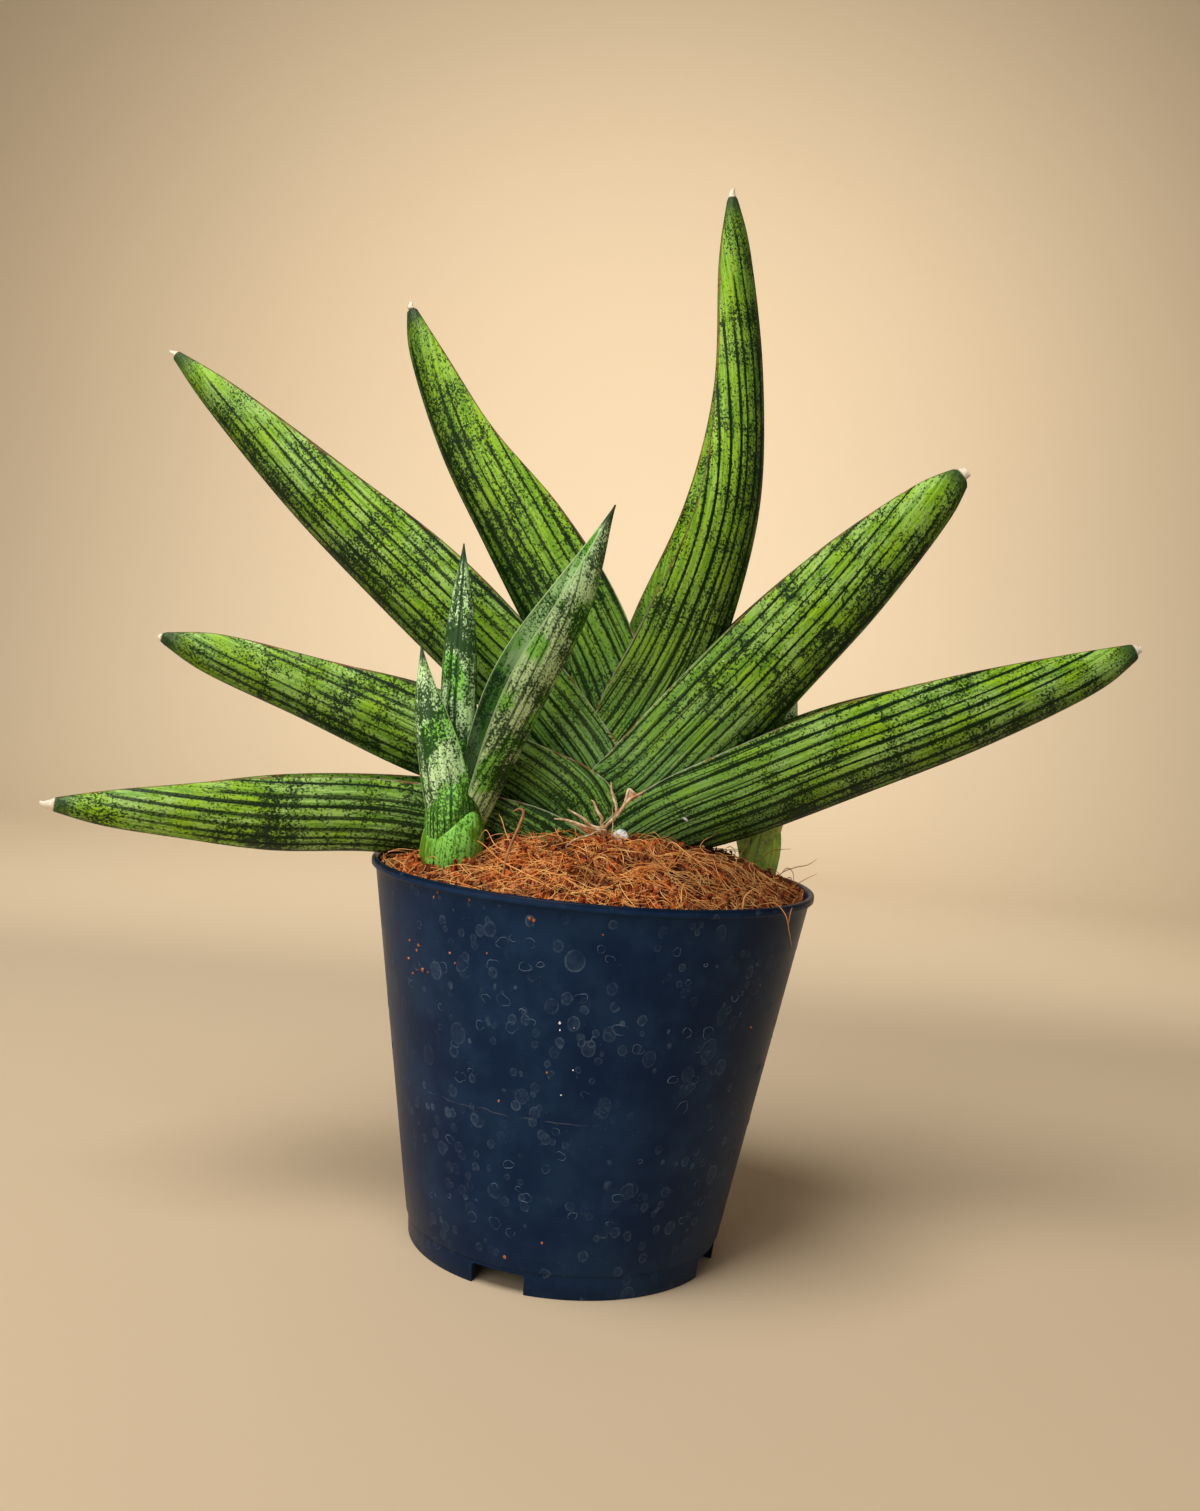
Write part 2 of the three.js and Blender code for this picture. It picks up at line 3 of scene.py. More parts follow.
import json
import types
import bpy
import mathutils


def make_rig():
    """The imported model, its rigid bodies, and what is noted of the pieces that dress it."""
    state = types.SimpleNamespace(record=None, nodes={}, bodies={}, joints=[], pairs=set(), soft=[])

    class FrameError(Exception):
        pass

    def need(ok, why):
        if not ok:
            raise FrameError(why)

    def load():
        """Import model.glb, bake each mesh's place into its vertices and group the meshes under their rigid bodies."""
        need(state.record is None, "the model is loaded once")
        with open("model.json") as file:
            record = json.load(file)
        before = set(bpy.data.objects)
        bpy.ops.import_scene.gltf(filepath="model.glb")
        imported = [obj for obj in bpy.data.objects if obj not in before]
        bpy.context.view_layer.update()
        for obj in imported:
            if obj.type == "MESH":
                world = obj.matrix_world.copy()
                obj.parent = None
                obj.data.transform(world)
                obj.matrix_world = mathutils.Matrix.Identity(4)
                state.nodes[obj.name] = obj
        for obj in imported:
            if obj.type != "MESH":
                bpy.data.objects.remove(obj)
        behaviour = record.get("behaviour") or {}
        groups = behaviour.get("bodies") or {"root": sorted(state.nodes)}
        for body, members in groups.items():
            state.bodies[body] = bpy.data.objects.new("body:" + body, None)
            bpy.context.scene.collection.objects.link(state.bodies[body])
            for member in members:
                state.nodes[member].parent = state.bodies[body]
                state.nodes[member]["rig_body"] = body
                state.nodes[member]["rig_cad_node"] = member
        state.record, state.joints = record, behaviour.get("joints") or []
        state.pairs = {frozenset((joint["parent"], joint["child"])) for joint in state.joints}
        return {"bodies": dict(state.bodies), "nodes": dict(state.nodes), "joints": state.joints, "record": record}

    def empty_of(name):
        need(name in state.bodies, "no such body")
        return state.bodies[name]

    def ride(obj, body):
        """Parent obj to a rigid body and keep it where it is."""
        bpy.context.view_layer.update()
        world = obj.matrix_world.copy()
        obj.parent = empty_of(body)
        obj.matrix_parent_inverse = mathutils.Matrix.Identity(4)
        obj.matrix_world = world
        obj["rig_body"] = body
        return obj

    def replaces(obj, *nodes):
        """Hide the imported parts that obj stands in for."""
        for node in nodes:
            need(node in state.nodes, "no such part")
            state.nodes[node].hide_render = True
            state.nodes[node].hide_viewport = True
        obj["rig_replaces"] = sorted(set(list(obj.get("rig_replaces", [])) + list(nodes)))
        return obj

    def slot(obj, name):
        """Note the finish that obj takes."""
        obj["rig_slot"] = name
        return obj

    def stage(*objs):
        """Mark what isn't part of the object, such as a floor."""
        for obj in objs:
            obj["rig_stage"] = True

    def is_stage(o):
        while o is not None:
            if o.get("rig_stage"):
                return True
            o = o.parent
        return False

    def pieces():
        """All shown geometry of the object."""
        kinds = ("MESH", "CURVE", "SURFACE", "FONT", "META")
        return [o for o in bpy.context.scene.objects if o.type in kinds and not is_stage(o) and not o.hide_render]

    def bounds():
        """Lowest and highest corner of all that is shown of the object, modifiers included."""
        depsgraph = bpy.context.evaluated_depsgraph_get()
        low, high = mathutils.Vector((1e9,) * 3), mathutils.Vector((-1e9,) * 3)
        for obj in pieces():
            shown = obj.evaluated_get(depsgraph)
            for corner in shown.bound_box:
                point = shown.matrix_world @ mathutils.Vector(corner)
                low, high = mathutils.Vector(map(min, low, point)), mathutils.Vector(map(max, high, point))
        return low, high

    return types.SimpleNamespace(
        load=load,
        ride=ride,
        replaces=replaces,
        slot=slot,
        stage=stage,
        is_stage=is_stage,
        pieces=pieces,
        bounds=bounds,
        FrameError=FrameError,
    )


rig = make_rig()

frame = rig.load()

import json
import math
import random

import bmesh
import bpy
from mathutils import Matrix, Vector, noise
from mathutils.bvhtree import BVHTree

CAD_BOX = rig.bounds()

bl_info = {
    "name": "Potted Snake Plant",
    "version": (1, 0, 0),
    "blender": (4, 5, 0),
    "location": "View3D > Sidebar > Snake Plant",
    "description": "Builds a potted rookie snake plant with its pups, coir and nursery pot",
    "category": "Add Mesh",
}

MM = 0.001
SIZE_FILE = "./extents.json"

# The photograph's camera, in metres: its place and its right, up and forward directions
CAMERA_PLACE = (0.0, -0.47595, 0.19024)
CAMERA_RIGHT = (0.99589604, 0.00736611, 0.09020434)
CAMERA_UP = (-0.09046048, 0.04989783, 0.99464924)
CAMERA_FORWARD = (-0.00282569, 0.99872716, -0.05035939)
CAMERA_SENSOR = 36.0
CAMERA_LENS = CAMERA_SENSOR * 1400 / 1511

# The pot, in millimetres
POT_HEIGHT = 127
POT_FOOT_RADIUS = 52.5
POT_BODY_RADIUS = 74
POT_WALL = 1.2
POT_FLOOR_TOP = 10.2
POT_FLOOR_UNDERSIDE = 8.6
FOOT_RING_INSIDE = 49.9
NOTCH_BEARINGS = [249.3, 339.3, 69.3, 159.3]
DRAIN_BEARINGS = [249.3 + 45 * i for i in range(8)]

# The coir's surface, in millimetres
COIR_EDGE = 124.2
COIR_CROWN = 142.6
COIR_SLOPE = 1.7
COIR_LUMP = 0.9
# The crumbs rise and sink round a level this far under that surface
CRUMB_LEVEL = 1.2
# Fibres and grains start within these distances of the middle, and none lies past the last ones
FIBRE_FIELD = 70.5
FIBRE_LIMIT = 71.2
GRAIN_FIELD = 71
GRAIN_LIMIT = 71.4

# A leaf's map counts millimetres from the keel, and on the channel's side from this number
CHANNEL_SIDE = 200.0
# Points across the outer and the inner side of a leaf
FAN_OUTLINE = (40, 16)
PUP_OUTLINE = (32, 16)
# Young leaves with a seed above this one have a twin line along the middle
TWIN_LINE_SEED = 28.0

# The seven leaves of the fan, from the outermost sheath to the innermost. Each row is one section,
# from the base to the tip: keel x and z, channel mouth x and z, and half of the width in depth.
# lean is how far the tip stands behind the plane of the fan. roll turns the channel's mouth back,
# in degrees, at the middle and at the tip, and settle is the share of the length in which it gets
# from the one to the other. stub is the length of the dried tip. The keel shade is painted shade that
# darkens the keel side as if it were the underside in shadow, and haze is how pale the patches are,
# both from 0 to 1. bands are the dark bands: millimetres from the tip, width and strength. What a leaf
# doesn't give comes from LEAF_DEFAULTS.
LEAF_DEFAULTS = {"settle": 0.4, "keel_shade": 0.42, "haze": 0.9}
FAN = {
    "leaf_left_low": {
        "lean": -26, "roll": (0, 8), "stub": 4.6, "keel_shade": 0.0, "haze": 1.0,
        "rows": [
            (-18, 118, 8, 130, 19), (-24, 119, -2, 141, 19), (-33, 121, -20, 149, 18),
            (-54, 126.5, -48, 152.5, 13.5), (-76, 127.6, -75.5, 153, 11), (-108, 125.5, -107.5, 150.5, 10),
            (-139, 127.4, -138.5, 145, 8.2), (-162, 129.8, -161.5, 141, 5), (-181, 134.6, -181, 136.8, 1.1),
        ],
        "bands": [(56, 4, 0.6), (64, 3, 0.4), (74, 6, 0.9), (81, 4, 0.7), (92, 6, 0.5), (106, 8, 0.8),
                  (122, 9, 0.7)],
    },
    "leaf_right_low": {
        "lean": 13, "roll": (0, 8), "stub": 2.6,
        "rows": [
            (8, 119, -8, 130, 17), (15, 124, -1, 142, 17), (30, 134, 14.5, 157, 16.5),
            (55, 144, 39.5, 171.5, 13.5), (90.5, 161, 76, 190, 11), (130, 180.5, 118, 204, 9.5),
            (167, 202.5, 159, 215.3, 5.5), (183.4, 217.4, 181.4, 221.3, 1.8),
        ],
        "bands": [(22, 4, 0.6), (38, 5, 0.8), (52, 4, 0.6), (66, 6, 0.9), (80, 5, 0.8), (96, 7, 0.9),
                  (114, 7, 0.9), (134, 8, 0.7)],
    },
    "leaf_left_middle": {
        "lean": -10, "roll": (0, 6), "stub": 1.2,
        "rows": [
            (-11, 121, 10, 136, 14.8), (-16, 130, 4, 155, 14.8), (-23, 139, -6, 163.5, 14.5),
            (-40, 147.5, -29, 171.5, 12.2), (-70, 157, -59, 184, 10), (-103, 170, -97, 190.3, 8.5),
            (-135, 182, -131, 195.3, 4.8), (-151, 191.4, -150.6, 194.4, 1.2),
        ],
        "bands": [(38, 4, 0.9), (46, 3, 0.6), (55, 5, 0.9), (68, 6, 1.0), (80, 6, 0.9), (98, 8, 0.7)],
    },
    "leaf_right_middle": {
        "lean": 5, "roll": (0, 2), "stub": 2.4,
        "rows": [
            (10, 123, -9, 140, 12.8), (19, 137, -5, 159, 12.8), (31, 149, 1.5, 168, 12.8),
            (45, 166, 17, 188, 12.6), (67.5, 195, 40.5, 216, 12), (89, 223.5, 66.3, 242.3, 10),
            (108.7, 254.7, 95.3, 265.8, 5.8), (115.7, 270.7, 111.8, 275, 2.2),
        ],
        "bands": [(34, 4, 0.5), (50, 6, 0.9), (60, 5, 0.8), (72, 6, 1.0), (86, 6, 0.8), (98, 7, 1.0),
                  (116, 6, 0.6)],
    },
    "leaf_left_high": {
        "lean": 8, "roll": (0, -4), "stub": 2.6,
        "rows": [
            (-6, 130, 9, 144, 10.8), (-15, 146, 8, 165, 10.8), (-24.5, 159, -1, 177.5, 11),
            (-45, 180, -22.5, 201, 11.4), (-78, 207.7, -57.5, 231.4, 11), (-113.3, 238.7, -97, 256.4, 9.2),
            (-144.6, 270.8, -136.5, 280.4, 5.2), (-160.3, 289.6, -158.8, 291.4, 1.1),
        ],
        "bands": [(30, 4, 0.5), (44, 5, 0.7), (60, 6, 0.8), (76, 5, 0.6), (92, 7, 0.8), (112, 7, 0.7),
                  (132, 8, 0.6)],
    },
    "leaf_right_high": {
        "lean": -4, "roll": (-16, 0), "settle": 0.16, "stub": 2.8, "keel_shade": 0.55, "haze": 0.35,
        "rows": [
            (5, 138, -6, 150, 8.8), (17, 160, -5, 172, 8.8), (28, 181, -2, 188, 9.2),
            (37.5, 209, 7.8, 215.6, 10), (44.3, 252.5, 21.3, 253.8, 10), (41.7, 296, 25.7, 293.5, 8.4),
            (33.6, 336.5, 23.3, 334.5, 4.8), (26.2, 357.3, 24.2, 357, 1.2),
        ],
        "bands": [(26, 3, 0.4), (44, 4, 0.7), (54, 4, 0.8), (66, 5, 0.8), (80, 5, 0.9), (92, 5, 0.8),
                  (106, 6, 1.0), (122, 5, 0.8), (140, 7, 0.9)],
    },
    "leaf_left_top": {
        "lean": 10, "roll": (0, -4), "stub": 2.4, "keel_shade": 0.6, "haze": 0.3,
        "rows": [
            (-2, 146, 5, 156, 6.8), (-11, 166, 8, 180, 7), (-18.5, 184.5, 9, 199.5, 8.2),
            (-30, 206, -1.5, 221.8, 9.8), (-46.5, 233, -22, 248, 10.6), (-64.5, 263.4, -46.8, 272.8, 9),
            (-78, 295.5, -68, 300, 5), (-81.2, 313.6, -79, 314.4, 1.1),
        ],
        "bands": [(24, 3, 0.5), (38, 4, 0.7), (52, 5, 0.7), (66, 5, 0.8), (82, 6, 0.7), (100, 7, 0.9),
                  (118, 8, 0.8)],
    },
}

# The pups, from the outermost leaf to the innermost. line holds the middle of a leaf, inner is the
# direction that its channel faces, and the rest shapes its section, as in the CAD source.
FRONT_PUP = {
    "pup_front_sheath_low": {
        "line": [(-45, -26.6, 119), (-44, -30.4, 135), (-42, -34, 151)], "inner": (-0.45, 0.9, 0),
        "height": 18.2, "half": 9.6, "belly": 0.3, "base": 0.94, "point": (3.4, 1), "channel": 0.86,
    },
    "pup_front_sheath_high": {
        "line": [(-45, -26, 122), (-45.6, -30.4, 141), (-47, -32.4, 160)], "inner": (-0.1, 1, 0.1),
        "height": 15.8, "half": 9.6, "belly": 0.5, "base": 0.8, "point": (3, 1), "channel": 0.84,
    },
    "pup_front_leaf_left": {
        "line": [(-44.5, -26, 123), (-48.4, -29.2, 142), (-53, -31.4, 161.5), (-58, -32.6, 181),
                 (-61, -33, 200)],
        "inner": (0.75, 0.6, 0.25),
        "height": 11.5, "half": 8.2, "belly": 0.34, "base": 0.86, "point": (2.4, 1.6), "channel": 0.68,
    },
    "pup_front_leaf_right": {
        "line": [(-45, -26, 124), (-37.6, -28.5, 155), (-27.8, -30, 186.5), (-13.4, -30.4, 218),
                 (-2.9, -30, 249)],
        "inner": (-0.78, -0.45, 0.42),
        "height": 17.6, "half": 8, "belly": 0.5, "base": 0.48, "point": (2.2, 1.4), "channel": 0.78,
    },
    "pup_front_leaf_middle": {
        "line": [(-45, -26, 125), (-49, -24, 179), (-51, -24, 233)], "inner": (0.3, 1, 0.1),
        "height": 7, "half": 6, "belly": 0.5, "base": 0.55, "point": (2.4, 1.3), "channel": 0.6,
    },
}
REAR_PUP = {
    "pup_rear_sheath": {
        "line": [(58, 26, 119), (61, 27.5, 134), (64.5, 29, 149)], "inner": (-0.95, 0.3, 0.2),
        "height": 11.4, "half": 6, "belly": 0.3, "base": 0.9, "point": (2.6, 1), "channel": 0.8,
    },
    "pup_rear_leaf_right": {
        "line": [(58, 26, 120), (64.5, 31, 162), (67.5, 36, 204)], "inner": (-0.9, -0.2, 0.3),
        "height": 9.2, "half": 5.4, "belly": 0.4, "base": 0.85, "point": (2.4, 1.5), "channel": 0.68,
    },
    "pup_rear_leaf_left": {
        "line": [(58, 26, 121), (51, 38, 154.5), (46, 44, 188)], "inner": (0.8, -0.4, 0.4),
        "height": 7.2, "half": 4.7, "belly": 0.42, "base": 0.8, "point": (2.4, 1.5), "channel": 0.64,
    },
    "pup_rear_leaf_middle": {
        "line": [(58, 26, 122), (59.5, 30, 166), (61, 34, 210)], "inner": (0.2, 1, 0.1),
        "height": 5.4, "half": 4, "belly": 0.45, "base": 0.6, "point": (2.2, 1.4), "channel": 0.55,
    },
}


def smooth(t):
    t = min(1.0, max(0.0, t))
    return t * t * (3 - 2 * t)


def mix(a, b, t):
    return a + (b - a) * t


def tone(red, green, blue):
    """A colour given as screen values from 0 to 255, as the linear values that a shader takes."""
    screen = (red / 255, green / 255, blue / 255)
    return (*(v / 12.92 if v <= 0.04045 else ((v + 0.055) / 1.055) ** 2.4 for v in screen), 1.0)


def settings():
    return bpy.context.scene.snake_plant


def along_line(points, u):
    """The point at u, from 0 to 1, on the smooth line through points that stand at even steps."""
    last = len(points) - 1
    place = min(max(u, 0.0), 1.0) * last
    i = min(int(place), last - 1)
    t = place - i
    here, there = Vector(points[i]), Vector(points[i + 1])
    before = Vector(points[i - 1]) if i > 0 else 2 * here - there
    after = Vector(points[i + 2]) if i + 2 <= last else 2 * there - here
    start, end = (there - before) / 2, (after - here) / 2
    step = there - here
    return here + start * t + (3 * step - 2 * start - end) * t ** 2 + (-2 * step + start + end) * t ** 3


def crooked(place):
    """A vector that wanders with the place, and is the same on each run."""
    return Vector([noise.noise(place + Vector(shift)) for shift in ((0, 0, 0), (9, 0, 0), (0, 9, 0))])


def rounded(points, steps):
    """A line of that many steps, bent smoothly through the points."""
    return [along_line(points, i / steps) for i in range(steps + 1)]


# ---- finishes


def made(tree, kind, links, output=0, **options):
    """One output of a new node with its options set, and its inputs linked or set by name or number."""
    node = tree.nodes.new(kind)
    for option, value in options.items():
        setattr(node, option, value)
    for socket, value in links.items():
        if isinstance(value, Value):
            tree.links.new(value.socket, node.inputs[socket])
        else:
            node.inputs[socket].default_value = value
    return Value(tree, node.outputs[output])


def operator(kind):
    """The method of Value that adds a math node of this kind."""
    return lambda self, other=0.0: made(self.tree, "ShaderNodeMath", {0: self, 1: other}, operation=kind)


class Value:
    """What one output of a node gives over the surface. Its operators and methods add further nodes."""

    def __init__(self, tree, socket):
        self.tree = tree
        self.socket = socket

    __add__ = __radd__ = operator("ADD")
    __sub__ = operator("SUBTRACT")
    __mul__ = operator("MULTIPLY")
    __truediv__ = operator("DIVIDE")
    __pow__ = operator("POWER")
    __gt__ = operator("GREATER_THAN")
    __lt__ = operator("LESS_THAN")
    __abs__ = operator("ABSOLUTE")
    at_least = operator("MAXIMUM")
    floor = operator("FLOOR")

    def clamped(self):
        """The same value, kept from 0 to 1 by the math node that it comes from."""
        self.socket.node.use_clamp = True
        return self

    def beside(self, output):
        """Another output of the same node."""
        return Value(self.tree, self.socket.node.outputs[output])

    def split(self):
        first = made(self.tree, "ShaderNodeSeparateXYZ", {0: self})
        return first, first.beside(1), first.beside(2)

    def ramp(self, low, high, start=0.0, end=1.0, easing="SMOOTHSTEP"):
        """The value taken from the range low to high to the range start to end, eased at both."""
        links = {"Value": self, "From Min": low, "From Max": high, "To Min": start, "To Max": end}
        return made(self.tree, "ShaderNodeMapRange", links, interpolation_type=easing)

    def linear(self, low, high, start=0.0, end=1.0):
        return self.ramp(low, high, start, end, "LINEAR")

    def noise(self, scale, detail=2.0, roughness=0.5):
        links = {"Vector": self, "Scale": scale, "Detail": detail, "Roughness": roughness}
        return made(self.tree, "ShaderNodeTexNoise", links)

    def cells(self, scale, randomness=1.0):
        """The distance to the middle of the nearest of many scattered cells."""
        links = {"Vector": self, "Scale": scale, "Randomness": randomness}
        return made(self.tree, "ShaderNodeTexVoronoi", links, "Distance")

    def stretch(self, scale, shift=(0, 0, 0)):
        return made(self.tree, "ShaderNodeMapping", {"Vector": self, "Scale": scale, "Location": shift})


class Finish:
    """A procedural material, built step by step from nodes."""

    def __init__(self, name, roughness=0.5, specular=0.5):
        self.material = bpy.data.materials.new(name)
        self.material.use_nodes = True
        self.tree = self.material.node_tree
        self.shader = next(n for n in self.tree.nodes if n.type == "BSDF_PRINCIPLED")
        self.shader.inputs["Roughness"].default_value = roughness
        self.shader.inputs["Specular IOR Level"].default_value = specular

    def blend(self, factor, a, b):
        return made(self.tree, "ShaderNodeMix", {0: factor, 6: a, 7: b}, 2, data_type="RGBA")

    def join(self, x, y, z=0.0):
        return made(self.tree, "ShaderNodeCombineXYZ", {0: x, 1: y, 2: z})

    def attribute(self, name):
        return made(self.tree, "ShaderNodeAttribute", {}, "Fac", attribute_name=name)

    def object_place(self):
        return made(self.tree, "ShaderNodeTexCoord", {}, "Object")

    def link(self, value, socket):
        self.tree.links.new(value.socket, self.shader.inputs[socket])

    def colour(self, value):
        self.link(value, "Base Color")

    def roughness(self, value):
        self.link(value, "Roughness")

    def bump(self, height, distance, strength=1.0):
        links = {"Height": height, "Distance": distance, "Strength": strength}
        self.link(made(self.tree, "ShaderNodeBump", links), "Normal")


def leaf_grain(finish):
    """Millimetres across and along a leaf, from its map."""
    return made(finish.tree, "ShaderNodeUVMap", {}, uv_map="grain").split()[:2]


def leaf_stripes(finish, across, along, pitch, seed, width, sway):
    """Dark stripes along the leaf, each with its own place and width: the stripes, the halo round each
    and a number from 0 to 1 of each stripe's own."""
    place = finish.join(across * 0.03, along * 0.012, seed)
    wander = (place.noise(1.0, 1.0) - 0.5) * sway
    row = across / pitch + wander
    number = row.floor()
    links = {"Vector": finish.join(number, seed, pitch)}
    draw = made(finish.tree, "ShaderNodeTexWhiteNoise", links, "Color", noise_dimensions="3D")
    first, second, third = draw.split()
    centre = first.linear(0, 1, 0.28, 0.72)
    offset = abs(row - number - centre)
    ragged = finish.join(across, along * 0.5, seed).noise(1.5, 4.0, 0.75)
    offset += (ragged - 0.5) * 0.2
    swell = finish.join(number, along * 0.06, seed).noise(1.0, 2.0)
    near = offset / (second.linear(0, 1, 0.45, 1.3) * width * swell.linear(0.25, 0.75, 0.6, 1.35))
    return near.ramp(0.8, 1.2, 1.0, 0.0), near.ramp(0.8, 3.2, 1.0, 0.0), third


def leaf_finish(name, light, pale, cloud, dark, bloom, look):
    """The skin of a leaf: light green with dark stripes, granular dark bands and bloom at the base.

    In look, stop and fine say where the wide and the fine stripes end, in millimetres from the tip and
    from the base. specks is the level from which the grit shows as dark specks, ink how dark they are,
    and crowd, drift and foot_crowd how much denser they stand in the bands, in patches and at the base.
    """
    finish = Finish(name, specular=0.18)
    across, along = leaf_grain(finish)
    edge = finish.attribute("edge_mm")
    end = finish.attribute("end_mm")
    band = finish.attribute("band")
    seed = finish.attribute("leaf_seed")
    grain = finish.join(across, along, seed)

    main, halo, reach = leaf_stripes(finish, across, along, look["pitch"], seed, look["width"], 0.9)
    stop = (reach ** 1.4).linear(0, 1, *look["stop"])
    main *= (end - stop).ramp(0.0, 5.0)
    fine, _, fade = leaf_stripes(finish, across, along, look["pitch"] * 0.41, seed + 7.3,
                                 look["width"] * 0.95, 0.5)
    until = fade.linear(0, 1, *look["fine"])
    fine *= (until - along).ramp(0.0, 14.0)
    stripes = main.at_least(fine * 0.85)
    stripes *= (across > CHANNEL_SIDE / 2).linear(0, 1, look["stripe"], 0.35)

    keel = abs(across).ramp(3.0, 20.0)
    wide = grain.stretch((0.09, 0.06, 1.0)).noise(1.0, 3.0, 0.6)
    broken = grain.stretch((0.2, 0.3, 1.0), (3.1, 0, 0)).noise(1.0, 3.0, 0.6)
    patch = band * broken.linear(0.35, 0.62, 0.1, 1.3)
    crowd = patch * keel.linear(0, 1, look["crowd"], look["crowd"] * 0.65)
    crowd += (wide - 0.5) * look["drift"]
    crowd += halo * 0.04
    crowd += keel.linear(0, 1, 0.022, -0.03)
    crowd += along.ramp(25, 95, look["foot_crowd"], 0.0)
    grit = grain.stretch((1.35, 1.1, 1.0)).noise(1.0, 5.0, 0.75)
    speck = (grit + crowd).ramp(look["specks"] - 0.012, look["specks"] + 0.014)
    pattern = stripes.at_least(speck * look["ink"]).clamped()

    haze = grain.stretch((0.11, 0.07, 1.0), (0, 0, 4.2)).noise(1.0, 3.0, 0.6)
    hazy = finish.attribute("haze") * look["pale_share"]
    skin = finish.blend(haze.ramp(*look["pale"]) * hazy, light, pale)
    streak = grain.stretch((1.1, 0.06, 1.0)).noise(1.0, 3.0, 0.6)
    skin = finish.blend(streak.ramp(0.4, 0.66, 0.0, look["cloud_share"]), skin, cloud)
    # Painted shade: the keel side is darkened as if it were the underside in shadow, by each leaf's keel shade, with a
    # little of the keel's own darker green in it
    painted_underside_shade = keel.linear(0, 1, 1.0, 0.0) * (across < CHANNEL_SIDE / 2)
    skin = finish.blend(painted_underside_shade * finish.attribute("keel_shade"), skin, dark)
    waxy = along.ramp(*look["bloom"]) * grain.noise(0.6, 3.0).ramp(0.25, 0.75, 0.5, 1.0)
    skin = finish.blend(waxy, skin, bloom)
    skin = finish.blend(pattern * waxy.linear(0, 1, 1.0, look["foot_marks"]), skin, dark)
    return finish, skin, grain, pattern, edge, end, along


def fan_leaf_finish():
    plant = settings().leaves
    finish, skin, grain, pattern, edge, end, along = leaf_finish(
        "fan_leaf_skin", plant.light, plant.pale, plant.cloud, plant.dark, plant.bloom,
        {"pitch": plant.stripe_pitch / MM, "width": 0.155, "stop": (7, 64), "fine": (30, 110), "stripe": 1.0,
         "bloom": (20, 105, 0.62, 0.0), "foot_marks": 0.9, "foot_crowd": 0.03,
         "specks": 0.562, "ink": 0.96, "crowd": 0.125, "drift": 0.33,
         "pale": (0.36, 0.66), "pale_share": 0.85, "cloud_share": 0.8})
    wear = grain.stretch((0.3, 0.12, 1.0)).noise(1.0, 3.0)
    rim_width = wear.linear(0.3, 0.7, 0.2, 0.6)
    rim = (edge / rim_width).ramp(0.6, 1.2, 1.0, 0.0)
    rim_tone = finish.blend(along.ramp(45, 95), tone(196, 206, 172), tone(96, 70, 36))
    rim_tone = finish.blend(wear.ramp(0.52, 0.62), rim_tone, tone(150, 92, 58))
    skin = finish.blend(rim * 0.75, skin, rim_tone)
    dusk = (end + wear * 5).ramp(3.5, 13, 0.85, 0.0)
    skin = finish.blend(dusk, skin, tone(38, 62, 34))
    husk = finish.blend(grain.noise(2.0, 4.0, 0.7).ramp(0.5, 0.68), tone(255, 244, 220),
                        tone(196, 132, 96))
    dry = end.ramp(-0.5, 0.4, 1.0, 0.0)
    skin = finish.blend(dry, skin, husk)
    finish.colour(skin)
    gloss = grain.noise(0.9, 3.0).linear(0.3, 0.7, 0.36, 0.47) + pattern * 0.05
    finish.roughness((gloss + dry * 0.4).clamped())
    relief = grain.noise(1.4, 3.0, 0.6) * 0.5 + pattern * -0.5
    relief += grain.stretch((0.5, 0.02, 1.0)).noise(1.0, 1.0) * 1.6
    finish.bump(relief, 0.25 * MM, 0.7)
    return finish.material


def young_leaf_finish(name, foot, foot_reach, foot_marks):
    plant = settings().pups
    finish, skin, grain, pattern, edge, end, along = leaf_finish(
        name, plant.leaf, plant.silver, plant.fresh, plant.dark, foot,
        {"pitch": 3.5, "width": 0.14, "stop": (4, 60), "fine": (10, 50), "stripe": 0.85,
         "bloom": foot_reach, "foot_marks": foot_marks, "foot_crowd": 0.0,
         "specks": 0.56, "ink": 0.95, "crowd": 0.15, "drift": 0.4,
         "pale": (0.4, 0.5), "pale_share": 1.0, "cloud_share": 0.35})
    across, _, seed = grain.split()
    middle = abs(across) - 0.9
    twin = abs(middle).ramp(0.25, 0.6, 1.0, 0.0)
    twin *= grain.stretch((0.6, 0.35, 1.0)).noise(1.0, 3.0).ramp(0.42, 0.5)
    twin *= seed > TWIN_LINE_SEED
    skin = finish.blend(twin * 0.9, skin, plant.dark)
    rim = edge.ramp(0.2, 0.5, 1.0, 0.0)
    skin = finish.blend(rim * 0.7, skin, tone(176, 200, 140))
    # Painted shade: the channel side next to the margin is darkened as if shadow lay in the crease, most in the lower
    # half
    painted_channel_shade = across.ramp(CHANNEL_SIDE + 1, CHANNEL_SIDE + 4) * along.ramp(50, 100, 1.0, 0.25)
    skin = finish.blend(painted_channel_shade * 0.85, skin, tone(14, 44, 16))
    dusk = (end + grain.noise(0.8, 4.0, 0.7) * 9).ramp(9, 14, 0.92, 0.0)
    skin = finish.blend(dusk, skin, tone(34, 66, 36))
    finish.colour(skin)
    finish.roughness(grain.noise(0.9, 3.0).linear(0.3, 0.7, 0.34, 0.46))
    relief = grain.noise(1.4, 3.0, 0.6) + pattern * -0.6
    finish.bump(relief, 0.2 * MM, 0.6)
    return finish.material


